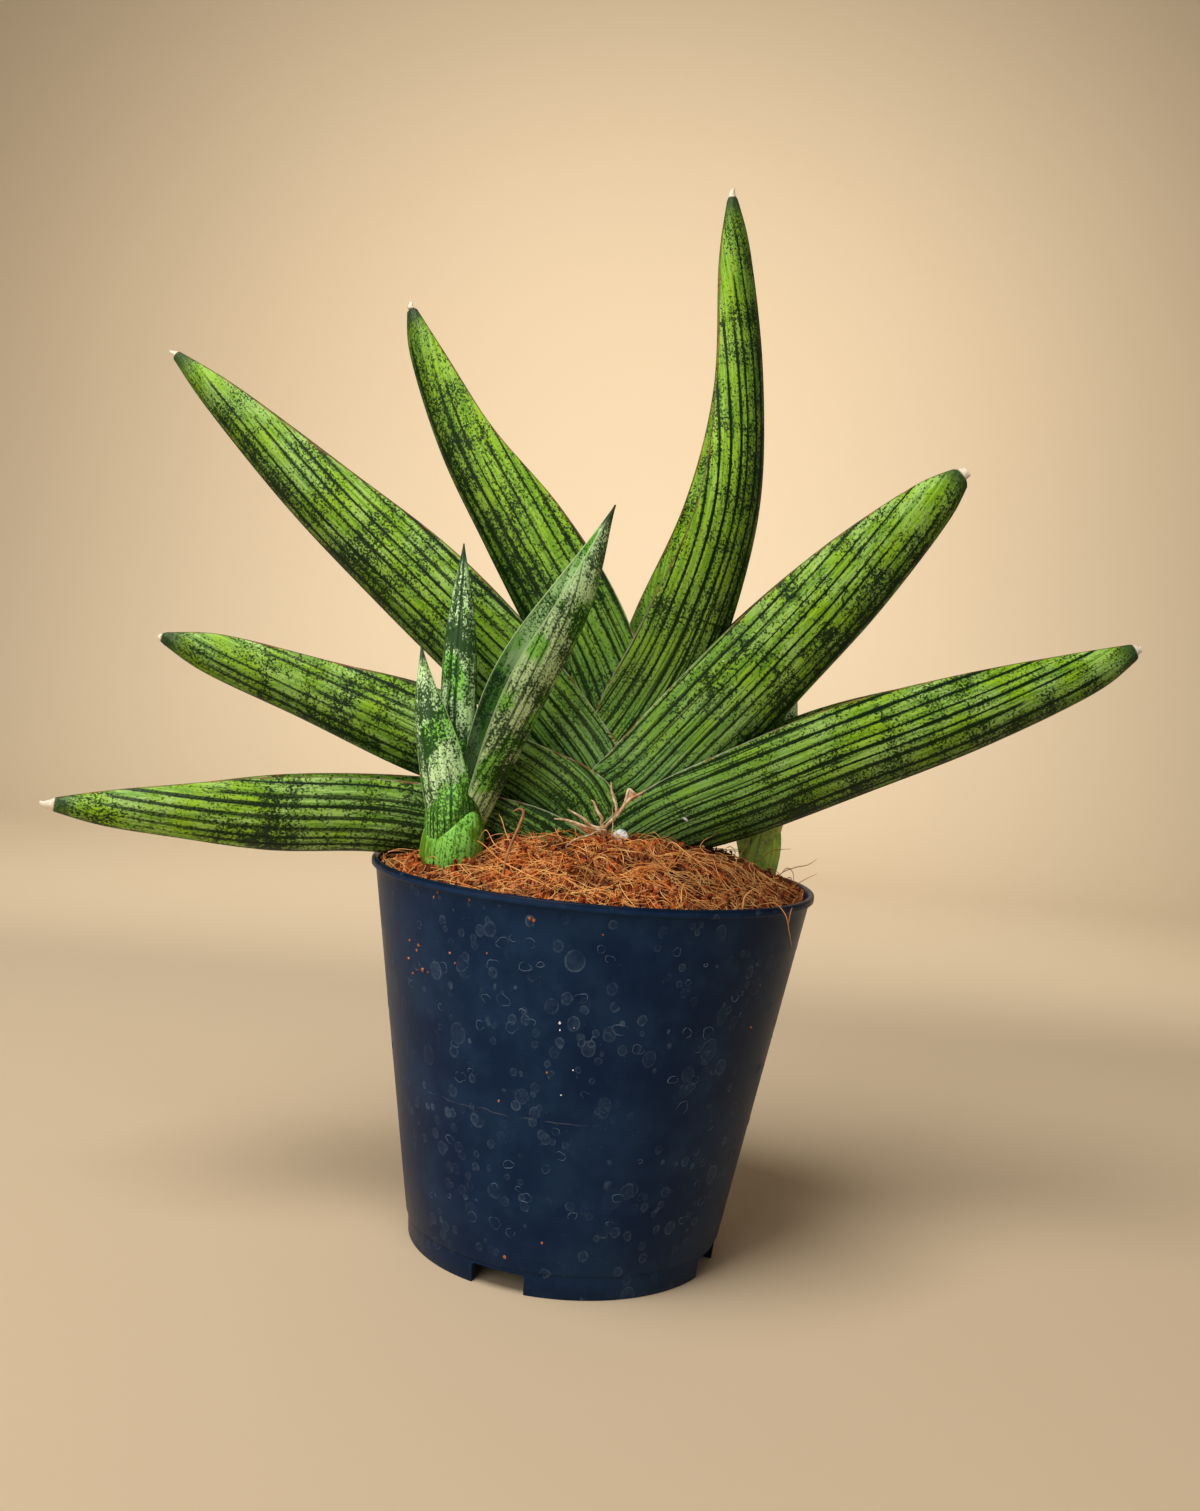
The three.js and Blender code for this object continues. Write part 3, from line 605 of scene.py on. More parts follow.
def sheath_finish(name, specks, stripe, green):
    plant = settings().pups
    finish, skin, grain, pattern, edge, end, _ = leaf_finish(
        name, green, plant.leaf, plant.fresh, plant.dark, green,
        {"pitch": 2.1, "width": 0.12, "stop": (1, 12), "fine": (8, 30), "stripe": stripe,
         "bloom": (0, 14, 0.8, 0.0), "foot_marks": 0.75, "foot_crowd": 0.0,
         "specks": specks, "ink": 0.85, "crowd": 0.0, "drift": 0.2,
         "pale": (0.4, 0.5), "pale_share": 0.9, "cloud_share": 0.3})
    bare = edge.ramp(1.5, 5.0, 1.0, 0.0)
    skin = finish.blend(bare, skin, green)
    rim = edge.ramp(0.3, 0.8, 1.0, 0.0).at_least(end.ramp(0.5, 1.2, 1.0, 0.0))
    skin = finish.blend(rim * 0.85, skin, tone(170, 200, 110))
    finish.colour(skin)
    finish.roughness(grain.noise(0.9, 3.0).linear(0.3, 0.7, 0.32, 0.46))
    veins = grain.stretch((1.3, 0.05, 1.0)).noise(1.0, 2.0)
    finish.bump(veins + pattern * -0.4, 0.25 * MM, 0.7)
    return finish.material


def pot_finish():
    pot = settings().pot
    finish = Finish("nursery_pot_plastic", specular=0.07)
    place = finish.object_place()
    x, y, z = place.split()
    dust = place.noise(55, 4.0, 0.6)
    skin = finish.blend(dust.ramp(0.35, 0.7), pot.navy, pot.dust)
    bend = place.noise(260, 3.0) * 0.0011
    links = {0: place, 1: finish.join(bend, bend, bend)}
    around = made(finish.tree, "ShaderNodeVectorMath", links, operation="ADD")
    spots = []
    for scale, seed, radius in ((120, 0.0, 0.31), (165, 0.37, 0.32), (240, 0.71, 0.3)):
        spread = around.stretch((1.0, 1.0, 0.82), (seed, seed * 0.6, seed * 0.3))
        reach = spread.cells(scale, 0.9)
        first, second, third = reach.beside("Color").split()
        own = first.linear(0, 1, 0.5 * radius, 1.2 * radius)
        ring = abs(reach - own).ramp(0.012, 0.045, 1.0, 0.0)
        disc = reach.ramp(own * 0.8, own, 0.3, 0.0)
        crowd = place.stretch((1, 1, 1), (seed, 0, 0)).noise(32, 2.0)
        kept = second.ramp(0.36, 0.42) * crowd.ramp(0.44, 0.56)
        spots.append(ring.at_least(disc) * (kept * third.linear(0, 1, 0.35, 1.0)))
    spots = spots[0].at_least(spots[1]).at_least(spots[2]) * place.noise(700, 2.0).ramp(0.3, 0.62, 0.2, 1.0)
    skin = finish.blend(spots * 0.32, skin, pot.water_spot)
    grit = place.cells(520)
    speck = grit.ramp(0.03, 0.09, 1.0, 0.0) * place.noise(60, 2.0).ramp(0.5, 0.62)
    skin = finish.blend(speck * 0.5, skin, tone(120, 120, 124))
    # The long scratch on the front, near the height of 58 mm
    arc = (finish.join(x, 0.0).noise(90, 2.0) - 0.5) * 0.004 + 0.0583
    line = abs(z - arc).ramp(0.00006, 0.0002, 1.0, 0.0)
    line *= x.ramp(-0.05, -0.045) * x.ramp(0.0, 0.006, 1.0, 0.0)
    line *= (y < 0.0) * place.noise(200, 2.0).ramp(0.35, 0.6)
    skin = finish.blend(line * 0.35, skin, tone(124, 124, 128))
    # The shadow line along the top of the lip
    skin = finish.blend(z.ramp(0.1256, 0.1266, 0.0, 0.7), skin, tone(4, 8, 18))
    finish.colour(skin)
    shine = dust.linear(0.3, 0.7, pot.roughness - 0.04, pot.roughness + 0.08)
    finish.roughness(shine + spots * 0.22)
    relief = place.noise(900, 3.0) + place.noise(70, 2.0) * 2.0
    finish.bump(relief, 0.05 * MM, 0.5)
    return finish.material


def mottled_finish(name, pattern, share, first, second, roughness, specular=0.5):
    """A finish that wanders between two colours, and the place on the object, for its relief."""
    finish = Finish(name, roughness, specular)
    place = finish.object_place()
    finish.colour(finish.blend(place.noise(*pattern).ramp(*share), first, second))
    return finish, place


def speck_finish():
    return mottled_finish("coir_speck", (1400, 3.0), (0.35, 0.65), tone(190, 120, 76), tone(120, 66, 36),
                          0.9)[0].material


def coir_painted_shade(place):
    """Painted shade on the coir: how dark it is in patches, and more of it on the right."""
    patches = place.noise(85, 3.0, 0.6).ramp(0.5, 0.64)
    side = place.split()[0].ramp(0.005, 0.05, 0.0, 0.95)
    return patches.at_least(side + patches * 0.4).clamped()


def coir_finish(name):
    coir = settings().coir
    finish = Finish(name, 0.95, 0.15)
    place = finish.object_place()
    depth = finish.attribute("hollow")
    grain = place.noise(700, 4.0, 0.75)
    painted_shade = coir_painted_shade(place)
    skin = finish.blend(grain.ramp(0.4, 0.58), coir.dark, coir.crumb)
    skin = finish.blend(place.noise(520, 3.0, 0.6).ramp(0.52, 0.62, 0.0, 0.9), skin, coir.golden)
    # Painted shade: the coir is darkened in the hollows of its relief
    skin = finish.blend(depth.ramp(0.2, 0.75, 0.0, 0.92), skin, tone(36, 13, 4))
    # Painted shade: the coir is darkened in patches and towards the right
    skin = finish.blend(painted_shade * 0.75, skin, tone(60, 20, 8))
    finish.colour(skin)
    finish.bump(place.noise(1500, 4.0, 0.7), 0.5 * MM, 1.0)
    return finish.material


def fibre_finish(name, pale, deep):
    finish = Finish(name, 0.62, 0.35)
    place = finish.object_place()
    skin = finish.blend(place.noise(160, 3.0, 0.6).ramp(0.35, 0.65), pale, deep)
    # Painted shade on the fibres, as on the coir under them
    skin = finish.blend(coir_painted_shade(place) * 0.5, skin, tone(80, 28, 10))
    finish.colour(skin)
    return finish.material


def dried_finish():
    finish, place = mottled_finish("dried_sheath_husk", (420, 4.0, 0.7), (0.35, 0.65), tone(240, 212, 172),
                                   tone(176, 124, 82), 0.75)
    finish.bump(place.noise(2500, 3.0), 0.1 * MM, 0.8)
    return finish.material


def perlite_finish():
    finish = Finish("perlite_foam", 0.9)
    place = finish.object_place()
    bubbles = place.cells(1400).ramp(0.1, 0.5)
    finish.colour(finish.blend(bubbles, tone(206, 208, 204), tone(252, 252, 250)))
    finish.bump(place.noise(1800, 3.0), 0.3 * MM, 1.0)
    return finish.material


def rhizome_finish():
    finish = Finish("rhizome_skin", 0.7)
    place = finish.object_place()
    rings = place.stretch((1, 1, 3)).noise(160, 3.0)
    finish.colour(finish.blend(rings.ramp(0.35, 0.65), tone(206, 188, 140), tone(150, 120, 78)))
    finish.bump(rings, 0.4 * MM, 0.8)
    return finish.material


def paper_finish():
    stage = settings().stage
    finish = Finish("backdrop_paper", 0.9, 0.1)
    place = finish.object_place()
    skin = finish.blend(place.noise(1.2, 2.0), stage.paper, tone(222, 201, 170))
    # Painted shade: the paper is darkened towards the front of the floor
    skin = finish.blend(place.split()[1].ramp(0.5, -0.3, 0.0, 0.8), skin, tone(196, 172, 142))
    finish.colour(skin)
    return finish.material


# ---- pieces


def placed(name, data):
    """A new object in the scene."""
    thing = bpy.data.objects.new(name, data)
    bpy.context.scene.collection.objects.link(thing)
    return thing


def finished(name, mesh, materials, slot, nodes=()):
    """A finished mesh as a piece of the plant: in the scene, on the root body and with its slot."""
    mesh.name = name
    piece = placed(name, mesh)
    for material in materials:
        mesh.materials.append(material)
    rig.ride(piece, "root")
    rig.slot(piece, slot)
    if nodes:
        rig.replaces(piece, *nodes)
    return piece


def face_out(bm):
    bmesh.ops.recalc_face_normals(bm, faces=bm.faces[:])


def to_mesh(bm, sharp=0.9):
    """The bmesh as a smooth mesh whose edges steeper than sharp, in radians, stay sharp. Its points and
    faces are sorted along a slanted line, because extruding leaves them in another order on each run."""
    line = Vector((0.3719, 0.6143, 0.6961))
    bm.verts.sort(key=lambda vert: vert.co.dot(line))
    bm.faces.sort(key=lambda face: face.calc_center_median().dot(line))
    for face in bm.faces:
        face.smooth = True
    for edge in bm.edges:
        edge.smooth = edge.is_boundary or edge.calc_face_angle(0.0) < sharp
    mesh = bpy.data.meshes.new("piece")
    bm.to_mesh(mesh)
    bm.free()
    return mesh


def pulled_out(bm, edges):
    """The vertices that come new when the edges are extruded."""
    fresh = bmesh.ops.extrude_edge_only(bm, edges=edges)["geom"]
    return [v for v in fresh if isinstance(v, bmesh.types.BMVert)]


def next_ring(bm, ring):
    """A ring of edges extruded once, as the new ring's vertices in the same order."""
    edges = [bm.edges.get((ring[i], ring[(i + 1) % len(ring)])) for i in range(len(ring))]
    fresh = set(pulled_out(bm, edges))
    return [next(e.other_vert(v) for e in v.link_edges if e.other_vert(v) in fresh) for v in ring]


def fan_sections(leaf, stations):
    """The sections of a fan leaf: keel, mouth, half width, channel depth and wrap angle."""
    last = len(leaf["rows"]) - 1
    rows = []
    for i, (keel_x, keel_z, mouth_x, mouth_z, half) in enumerate(leaf["rows"]):
        u = i / last
        y = leaf["lean"] * u ** 1.5
        turn = mix(leaf["roll"][0] * smooth((u - 0.28) / 0.24), leaf["roll"][1],
                   smooth((u - 0.52) / leaf["settle"]))
        height = math.hypot(mouth_x - keel_x, mouth_z - keel_z)
        rows.append((keel_x, y, keel_z, mouth_x, y + height * math.sin(math.radians(turn)), mouth_z, half))
    sections = []
    for i in range(stations + 1):
        u = i / stations
        row = along_line(rows, u)
        channel = mix(0.8, 0.34, smooth((u - 0.26) / 0.34)) - 0.14 * smooth((u - 0.7) / 0.3)
        wrap = mix(93, 122, smooth((u - 0.38) / 0.3)) + 26 * smooth((u - 0.75) / 0.25)
        sections.append((Vector(row[0:3]), Vector(row[3:6]), row[6], channel, math.radians(wrap)))
    return sections


def pup_sections(leaf, stations):
    """The sections of a pup's leaf or sheath scale, in the same terms."""
    sections = []
    belly = leaf["belly"]
    for i in range(stations + 1):
        u = (i / stations) ** 0.9 * 0.985
        if u < belly:
            swell = mix(leaf["base"], 1, smooth(u / belly))
        else:
            swell = (1 - ((u - belly) / (1 - belly)) ** leaf["point"][0]) ** leaf["point"][1]
        along = (along_line(leaf["line"], u + 1e-4) - along_line(leaf["line"], u - 1e-4)).normalized()
        inner = Vector(leaf["inner"])
        inner = (inner - along * inner.dot(along)).normalized() * leaf["height"] * max(swell, 0.03) / 2
        centre = along_line(leaf["line"], u)
        channel = leaf["channel"] * (1 - 0.5 * u ** 3)
        sections.append((centre - inner, centre + inner, leaf["half"] * max(swell, 0.04), channel,
                         math.radians(mix(100, 112, u))))
    return sections


def leaf_outline(section, outside, inside):
    """One section as (across, up) points: under the keel to the other margin, then back in the channel."""
    keel, mouth, half, channel, wrap = section
    height = (mouth - keel).length
    outline = []
    for i in range(outside + 1):
        angle = mix(-wrap, wrap, i / outside)
        outline.append((half * math.sin(angle), height * (1 - math.cos(angle)) / (1 - math.cos(wrap))))
    margin = half * math.sin(wrap) - min(0.7, 0.3 * half)
    for i in range(inside + 1):
        angle = mix(math.pi / 2, -math.pi / 2, i / inside)
        outline.append((margin * math.sin(angle), height * (1 - channel * math.cos(angle))))
    return outline


def shape_stub(sections, length, seed):
    """Draws the sections of the last few millimetres in to a crooked, dried point."""
    centres = [(s[0] + s[1]) / 2 for s in sections]
    left = [0.0]
    for i in range(len(centres) - 1, 0, -1):
        left.append(left[-1] + (centres[i] - centres[i - 1]).length)
    left.reverse()
    shaped = []
    for i, (keel, mouth, half, channel, wrap) in enumerate(sections):
        if left[i] < length:
            part = 1 - left[i] / length
            size = mix(0.84, 0.5, part) * (1 + 0.3 * noise.noise(Vector((part * 5, seed, 0.3))))
            shift = Vector([noise.noise(Vector((part * 2, seed, row))) for row in (2.1, 5.7, 8.3)])
            centre = centres[i] + shift * part * 1.4
            keel, mouth = (centre + (end - centres[i]) * size for end in (keel, mouth))
            half *= size
        shaped.append((keel, mouth, half, channel, wrap))
    return shaped


def leaf_mesh(sections, outside, inside, seed, bands=(), stub=0.0, keel_shade=0.0, haze=1.0):
    """A leaf lofted ring by ring through its sections, with its map and what its finish needs."""
    middles = [(s[0] + s[1]) / 2 for s in sections]
    last = len(sections) - 1
    count = outside + inside + 2
    bm = bmesh.new()
    grain = bm.loops.layers.uv.new("grain")
    keys = ("edge_mm", "end_mm", "band", "leaf_seed", "keel_shade", "haze")
    layers = [bm.verts.layers.float.new(key) for key in keys]
    walked = [0.0]
    for i in range(last):
        walked.append(walked[-1] + (middles[i + 1] - middles[i]).length)
    ring = bmesh.ops.create_circle(bm, cap_ends=False, radius=1, segments=count)["verts"]
    across = {}
    place = {}
    rings = []
    for i, section in enumerate(sections):
        if i:
            ring = next_ring(bm, ring)
        rings.append(ring)
        along = (middles[min(i + 1, last)] - middles[max(i - 1, 0)]).normalized()
        keel, mouth = section[:2]
        upright = (mouth - keel).normalized()
        side = along.cross(upright).normalized()
        outline = leaf_outline(section, outside, inside)
        walk = [0.0]
        for a, b in zip(outline, outline[1:]):
            walk.append(walk[-1] + math.hypot(b[0] - a[0], b[1] - a[1]))
        reach = walk[outside] / 2
        hollow = (walk[count - 1] - walk[outside + 1]) / 2
        if i <= 0.45 * last:
            reference = reach
        draw = (max(reach, 0.5) / reference) ** 0.65
        for j, vert in enumerate(ring):
            across_mm, up_mm = outline[j]
            vert.co = (keel + side * across_mm + upright * up_mm) * MM
            if j <= outside:
                near = min(walk[j], walk[outside] - walk[j])
                spot = walk[j] - reach
            else:
                inner_walk = walk[j] - walk[outside + 1]
                near = min(inner_walk, 2 * hollow - inner_walk)
                spot = CHANNEL_SIDE + inner_walk - hollow
            place[vert] = (i, j)
            across[vert] = (spot if j > outside else spot / draw ** 0.5, walked[i])
            left = walked[last] - walked[i]
            ripple = 1.5 * noise.noise(Vector((across_mm * 0.12, seed * 3.1, walked[i] * 0.03)))
            strength = 0.0
            for centre, width, power in bands:
                strength = max(strength, power * math.exp(-((left - centre + 2.4 * ripple) / width) ** 2))
            for layer, value in zip(layers, (near, left - stub, strength, seed, keel_shade, haze)):
                vert[layer] = value
    for end_ring in (rings[0], rings[-1]):
        bmesh.ops.contextual_create(bm, geom=end_ring)
    bm.verts.index_update()
    for face in bm.faces:
        inner_face = sum(place[loop.vert][1] > outside for loop in face.loops) * 2 >= len(face.loops)
        for loop in face.loops:
            spot, walk_mm = across[loop.vert]
            if inner_face and place[loop.vert][1] <= outside:
                spot = CHANNEL_SIDE + math.copysign(hollow_guess(loop.vert, across), spot)
            loop[grain].uv = (spot, walk_mm)
    face_out(bm)
    return to_mesh(bm)


def hollow_guess(vert, across):
    """How far the margin lies from the channel's middle, for the narrow strip between the two sides."""
    for edge in vert.link_edges:
        other = edge.other_vert(vert)
        if across[other][0] > CHANNEL_SIDE / 2:
            return abs(across[other][0] - CHANNEL_SIDE)
    return 0.0


def pot_wall(z):
    return POT_FOOT_RADIUS + (POT_BODY_RADIUS - POT_FOOT_RADIUS) * z / POT_HEIGHT


def turned(bm, profile, steps):
    """A closed turned shape from its profile of (radius, z) points in millimetres."""
    verts = [bm.verts.new((radius * MM, 0, z * MM)) for radius, z in profile]
    edges = [bm.edges.new(pair) for pair in zip(verts, verts[1:])]
    bmesh.ops.spin(bm, geom=verts + edges, cent=(0, 0, 0), axis=(0, 0, 1), dvec=(0, 0, 0), angle=2 * math.pi,
                   steps=steps, use_merge=True, use_duplicate=False)
    bmesh.ops.remove_doubles(bm, verts=bm.verts[:], dist=1e-6)
    face_out(bm)


def cut_away(mesh, cutters):
    """The mesh with each cutter bmesh taken away from it."""
    work = placed("work", mesh)
    tools = []
    for i, cutter in enumerate(cutters):
        tool_mesh = bpy.data.meshes.new(f"cutter_{i}")
        cutter.to_mesh(tool_mesh)
        cutter.free()
        tools.append(placed(f"cutter_{i}", tool_mesh))
        modifier = work.modifiers.new(f"cut_{i}", "BOOLEAN")
        modifier.operation = "DIFFERENCE"
        modifier.solver = "EXACT"
        modifier.object = tools[-1]
    shown = work.evaluated_get(bpy.context.evaluated_depsgraph_get())
    result = bpy.data.meshes.new_from_object(shown)
    result.materials.clear()
    for thing in [work, *tools]:
        data = thing.data
        bpy.data.objects.remove(thing)
        bpy.data.meshes.remove(data)
    return result


def coir_height(x, y):
    """The height of the coir's surface, in millimetres."""
    reach = min(1.0, math.hypot(x, y) / (pot_wall(COIR_EDGE) - POT_WALL))
    lumps = math.sin(0.21 * x + 0.9) * math.cos(0.17 * y - 0.4) + 0.6 * math.sin(0.43 * x - 0.29 * y)
    rise = (COIR_CROWN - COIR_EDGE) * (1 - reach ** COIR_SLOPE)
    return COIR_EDGE + rise + COIR_LUMP * lumps * (1 - reach ** 6)


def coir_relief(x, y):
    """The crumbs and hollows on that surface, in millimetres."""
    place = Vector((x, y, 0))
    clumps = noise.fractal(place * 0.16, 0.7, 2.1, 3, noise_basis="PERLIN_ORIGINAL")
    crumbs = noise.fractal(place * 0.5, 0.5, 2.2, 4, noise_basis="PERLIN_ORIGINAL")
    hollow = math.exp(-((x - 27) / 7) ** 2 - ((y + 38) / 6) ** 2)
    return 3.0 * clumps + 3.4 * crumbs - 3.0 * hollow


def fibres(strands, materials, sides=0):
    """Strands of (points, radius, material number), in millimetres, as one mesh of thin tapered tubes."""
    curve = bpy.data.curves.new("strands", "CURVE")
    curve.dimensions = "3D"
    curve.bevel_depth = MM
    curve.bevel_resolution = sides
    curve.use_fill_caps = True
    for points, radius, number in strands:
        spline = curve.splines.new("POLY")
        spline.points.add(len(points) - 1)
        spline.material_index = number
        for i, (point, place) in enumerate(zip(spline.points, points)):
            part = i / (len(points) - 1)
            point.co = (place[0] * MM, place[1] * MM, place[2] * MM, 1)
            point.radius = radius * (1 - 0.7 * abs(2 * part - 1) ** 3)
    holder = placed("strands", curve)
    for material in materials:
        curve.materials.append(material)
    shown = holder.evaluated_get(bpy.context.evaluated_depsgraph_get())
    mesh = bpy.data.meshes.new_from_object(shown)
    bpy.data.objects.remove(holder)
    bpy.data.curves.remove(curve)
    for polygon in mesh.polygons:
        polygon.use_smooth = True
    mesh.materials.clear()
    return mesh


def leaf_trees():
    """Search trees of the leaves with their boxes, so that fibres stay outside them."""
    trees = []
    for piece in bpy.data.objects:
        if piece.get("leafy"):
            bm = bmesh.new()
            bm.from_mesh(piece.data)
            low = Vector([min(v.co[i] for v in bm.verts) for i in range(3)])
            high = Vector([max(v.co[i] for v in bm.verts) for i in range(3)])
            trees.append((BVHTree.FromBMesh(bm), low, high))
            bm.free()
    return trees


def inside_leaf(trees, point):
    """Whether a point, in millimetres, lies in a leaf: a line up from it crosses an odd number of times."""
    place = Vector(point) * MM
    for tree, low, high in trees:
        if any(place[i] < low[i] or place[i] > high[i] for i in range(3)):
            continue
        start, crossings = place.copy(), 0
        while True:
            spot = tree.ray_cast(start, Vector((0, 0, 1)))[0]
            if spot is None:
                break
            crossings += 1
            start = spot + Vector((0, 0, 1e-5))
        if crossings % 2:
            return True
    return False


def lying_fibre(draw, length, curl, lift, steps, sink):
    """A fibre that lies over the coir from a random place, in a loose arc that rises between its ends."""
    radius = FIBRE_FIELD * math.sqrt(draw.random())
    bearing = draw.uniform(0, 2 * math.pi)
    heading = draw.uniform(0, 2 * math.pi)
    x, y = radius * math.cos(bearing), radius * math.sin(bearing)
    turn = draw.gauss(0, curl)
    twist = draw.gauss(0, curl * 0.8)
    own_lift = abs(draw.gauss(0, lift))
    tilt = draw.uniform(-0.5, 1.0) * own_lift
    bed = mix(0.3, coir_relief(x, y) - 0.8, sink)
    points = []
    for i in range(steps + 1):
        part = i / steps
        reach = math.hypot(x, y)
        if reach > FIBRE_LIMIT:
            x, y = x * FIBRE_LIMIT / reach, y * FIBRE_LIMIT / reach
        z = coir_height(x, y) + bed + own_lift * math.sin(math.pi * part) + tilt * part
        points.append((x, y, z))
        heading += (turn + twist * math.sin(5 * part)) / steps
        x += length / steps * math.cos(heading)
        y += length / steps * math.sin(heading)
    return points


# ---- settings


def colour_setting(name, description, *screen):
    return bpy.props.FloatVectorProperty(name=name, description=description, subtype="COLOR", size=4,
                                         default=tone(*screen))


class PotSettings(bpy.types.PropertyGroup):
    navy: colour_setting("Plastic", "Colour of the moulded plastic", 15, 36, 66)
    dust: colour_setting("Dust", "Colour of the plastic where it is dusty", 27, 50, 80)
    water_spot: colour_setting("Water spots", "Colour of the dried water spots", 120, 140, 160)
    roughness: bpy.props.FloatProperty(name="Roughness", description="Roughness of the clean plastic",
                                       default=0.34,
                                       min=0.05, max=1, subtype="FACTOR")
    steps: bpy.props.IntProperty(name="Sides", description="Flat sides round the pot", default=160, min=24,
                                 max=256)


class CoirSettings(bpy.types.PropertyGroup):
    crumb: colour_setting("Crumb", "Colour of the coir crumbs", 200, 96, 40)
    golden: colour_setting("Golden", "Colour of the palest coir", 226, 158, 98)
    dark: colour_setting("Dark", "Colour of the coir in its hollows", 74, 27, 9)
    short_fibres: bpy.props.IntProperty(name="Short fibres", description="Number of short curly fibres",
                                        default=2000, min=0, max=6000)
    long_fibres: bpy.props.IntProperty(name="Long fibres", description="Number of long loose fibres",
                                       default=620,
                                       min=0, max=3000)
    crumbs: bpy.props.IntProperty(name="Grains", description="Number of loose grains", default=3800, min=0,
                                  max=8000)
    seed: bpy.props.IntProperty(name="Seed", description="Seed of the fibres' places", default=5)


class LeafSettings(bpy.types.PropertyGroup):
    light: colour_setting("Light green", "Colour between the stripes", 152, 196, 36)
    pale: colour_setting("Pale green", "Greyish green of the palest patches", 172, 210, 120)
    cloud: colour_setting("Cloudy green", "Duller green that clouds the light one", 90, 142, 30)
    dark: colour_setting("Stripe green", "Colour of the stripes and bands", 4, 32, 6)
    bloom: colour_setting("Bloom", "Greyish wax at the base of the leaves", 108, 164, 98)
    stripe_pitch: bpy.props.FloatProperty(name="Stripe pitch", description="Distance between two stripes",
                                          default=0.0037, min=0.001, max=0.01, subtype="DISTANCE",
                                          unit="LENGTH")
    stations: bpy.props.IntProperty(name="Sections", description="Sections along a leaf", default=120, min=16,
                                    max=200)


class PupSettings(bpy.types.PropertyGroup):
    leaf: colour_setting("Young green", "Green of the young leaves between the marks", 150, 224, 96)
    silver: colour_setting("Silver", "Silvery colour of the young leaves", 222, 255, 190)
    fresh: colour_setting("Fresh green", "Green at the base of the young leaves", 110, 170, 48)
    sheath: colour_setting("Sheath green", "Green of the sheath scales", 100, 146, 28)
    # The rear pup's pale yellow-green foot, painted brighter than its own colour as light shining through it from
    # behind, against the fan's shadow
    pale_and_backlit_foot: colour_setting("Pale sheath", "Green of the rear pup's pale foot", 226, 252, 116)
    dark: colour_setting("Stripe green", "Colour of the young leaves' markings", 8, 54, 8)
    stations: bpy.props.IntProperty(name="Sections", description="Sections along a young leaf", default=90,
                                    min=12,
                                    max=160)


class StageSettings(bpy.types.PropertyGroup):
    paper: colour_setting("Paper", "Colour of the paper backdrop", 226, 206, 174)
    key_power: bpy.props.FloatProperty(name="Key light", description="Power of the large soft light",
                                       default=12.6,
                                       min=0, max=200, subtype="POWER", unit="POWER")
    glow_power: bpy.props.FloatProperty(name="Glow", description="Power of the light on the backdrop",
                                        default=7.0,
                                        min=0, max=200, subtype="POWER", unit="POWER")
    room: bpy.props.FloatProperty(name="Room light", description="Strength of the light from all round",
                                  default=0.17,
                                  min=0, max=3, subtype="FACTOR")


class SnakePlantSettings(bpy.types.PropertyGroup):
    pot: bpy.props.PointerProperty(type=PotSettings, name="Pot", description="The nursery pot")
    coir: bpy.props.PointerProperty(type=CoirSettings, name="Coir", description="The coir and its fibres")
    leaves: bpy.props.PointerProperty(type=LeafSettings, name="Leaves",
                                      description="The seven leaves of the fan")
    pups: bpy.props.PointerProperty(type=PupSettings, name="Pups", description="The two young shoots")
    stage: bpy.props.PointerProperty(type=StageSettings, name="Stage", description="Backdrop and light")


# ---- operators


class SNAKEPLANT_OT_stage(bpy.types.Operator):
    """Set the camera, the paper backdrop and the soft lights"""

    bl_idname = "snake_plant.stage"
    bl_label = "Stage"

    def execute(self, context):
        stage = settings().stage
        scene = context.scene
        camera = placed("camera", bpy.data.cameras.new("camera"))
        turn = Matrix((CAMERA_RIGHT, CAMERA_UP, [-v for v in CAMERA_FORWARD])).transposed().to_4x4()
        camera.matrix_world = Matrix.Translation(CAMERA_PLACE) @ turn
        camera.data.sensor_width = CAMERA_SENSOR
        camera.data.lens = CAMERA_LENS
        camera.data.clip_start = 0.01
        camera.data.clip_end = 30
        scene.camera = camera
        scene.view_settings.view_transform = "Standard"

        bm = bmesh.new()
        # The paper lies flat, bends up behind the plant and stands: its line in metres, back and up
        bends = [math.pi / 2 * i / 16 for i in range(1, 17)]
        bend = 0.7
        line = [(-3.2, 0.0), (1.0, 0.0),
                *((1.0 + bend * math.sin(a), bend - bend * math.cos(a)) for a in bends)]
        line += [(1.0 + bend, 3.2)]
        verts = [bm.verts.new((-3.4, y, z)) for y, z in line]
        edges = [bm.edges.new(pair) for pair in zip(verts, verts[1:])]
        bmesh.ops.translate(bm, verts=pulled_out(bm, edges), vec=(6.8, 0, 0))
        face_out(bm)
        mesh = to_mesh(bm, 2.0)
        mesh.materials.append(paper_finish())
        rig.stage(placed("backdrop", mesh))

        self.light("key", stage.key_power, (1.0, 0.985, 0.96), (-0.34, -0.42, 1.16), (0, 0, 0.16), 0.6)
        self.light("fill", stage.key_power * 0.4, (1.0, 0.99, 0.96), (-0.62, -0.95, 0.5), (0, 0, 0.16), 0.8)
        self.light("glow", stage.glow_power, (1.0, 0.97, 0.92), (0.03, 0.5, 0.82), (0.03, 1.7, 0.36),
                   1.3, 1.9)
        world = bpy.data.worlds.new("room")
        scene.world = world
        world.use_nodes = True
        background = next(n for n in world.node_tree.nodes if n.type == "BACKGROUND")
        background.inputs["Color"].default_value = tone(255, 248, 240)
        background.inputs["Strength"].default_value = stage.room
        return {"FINISHED"}

    def light(self, name, power, colour, place, aim, size, spread=math.pi):
        data = bpy.data.lights.new(name, "AREA")
        data.energy = power
        data.color = colour
        data.size = size
        data.spread = spread
        turn = (Vector(place) - Vector(aim)).to_track_quat("Z", "Y").to_matrix().to_4x4()
        placed(name, data).matrix_world = Matrix.Translation(place) @ turn


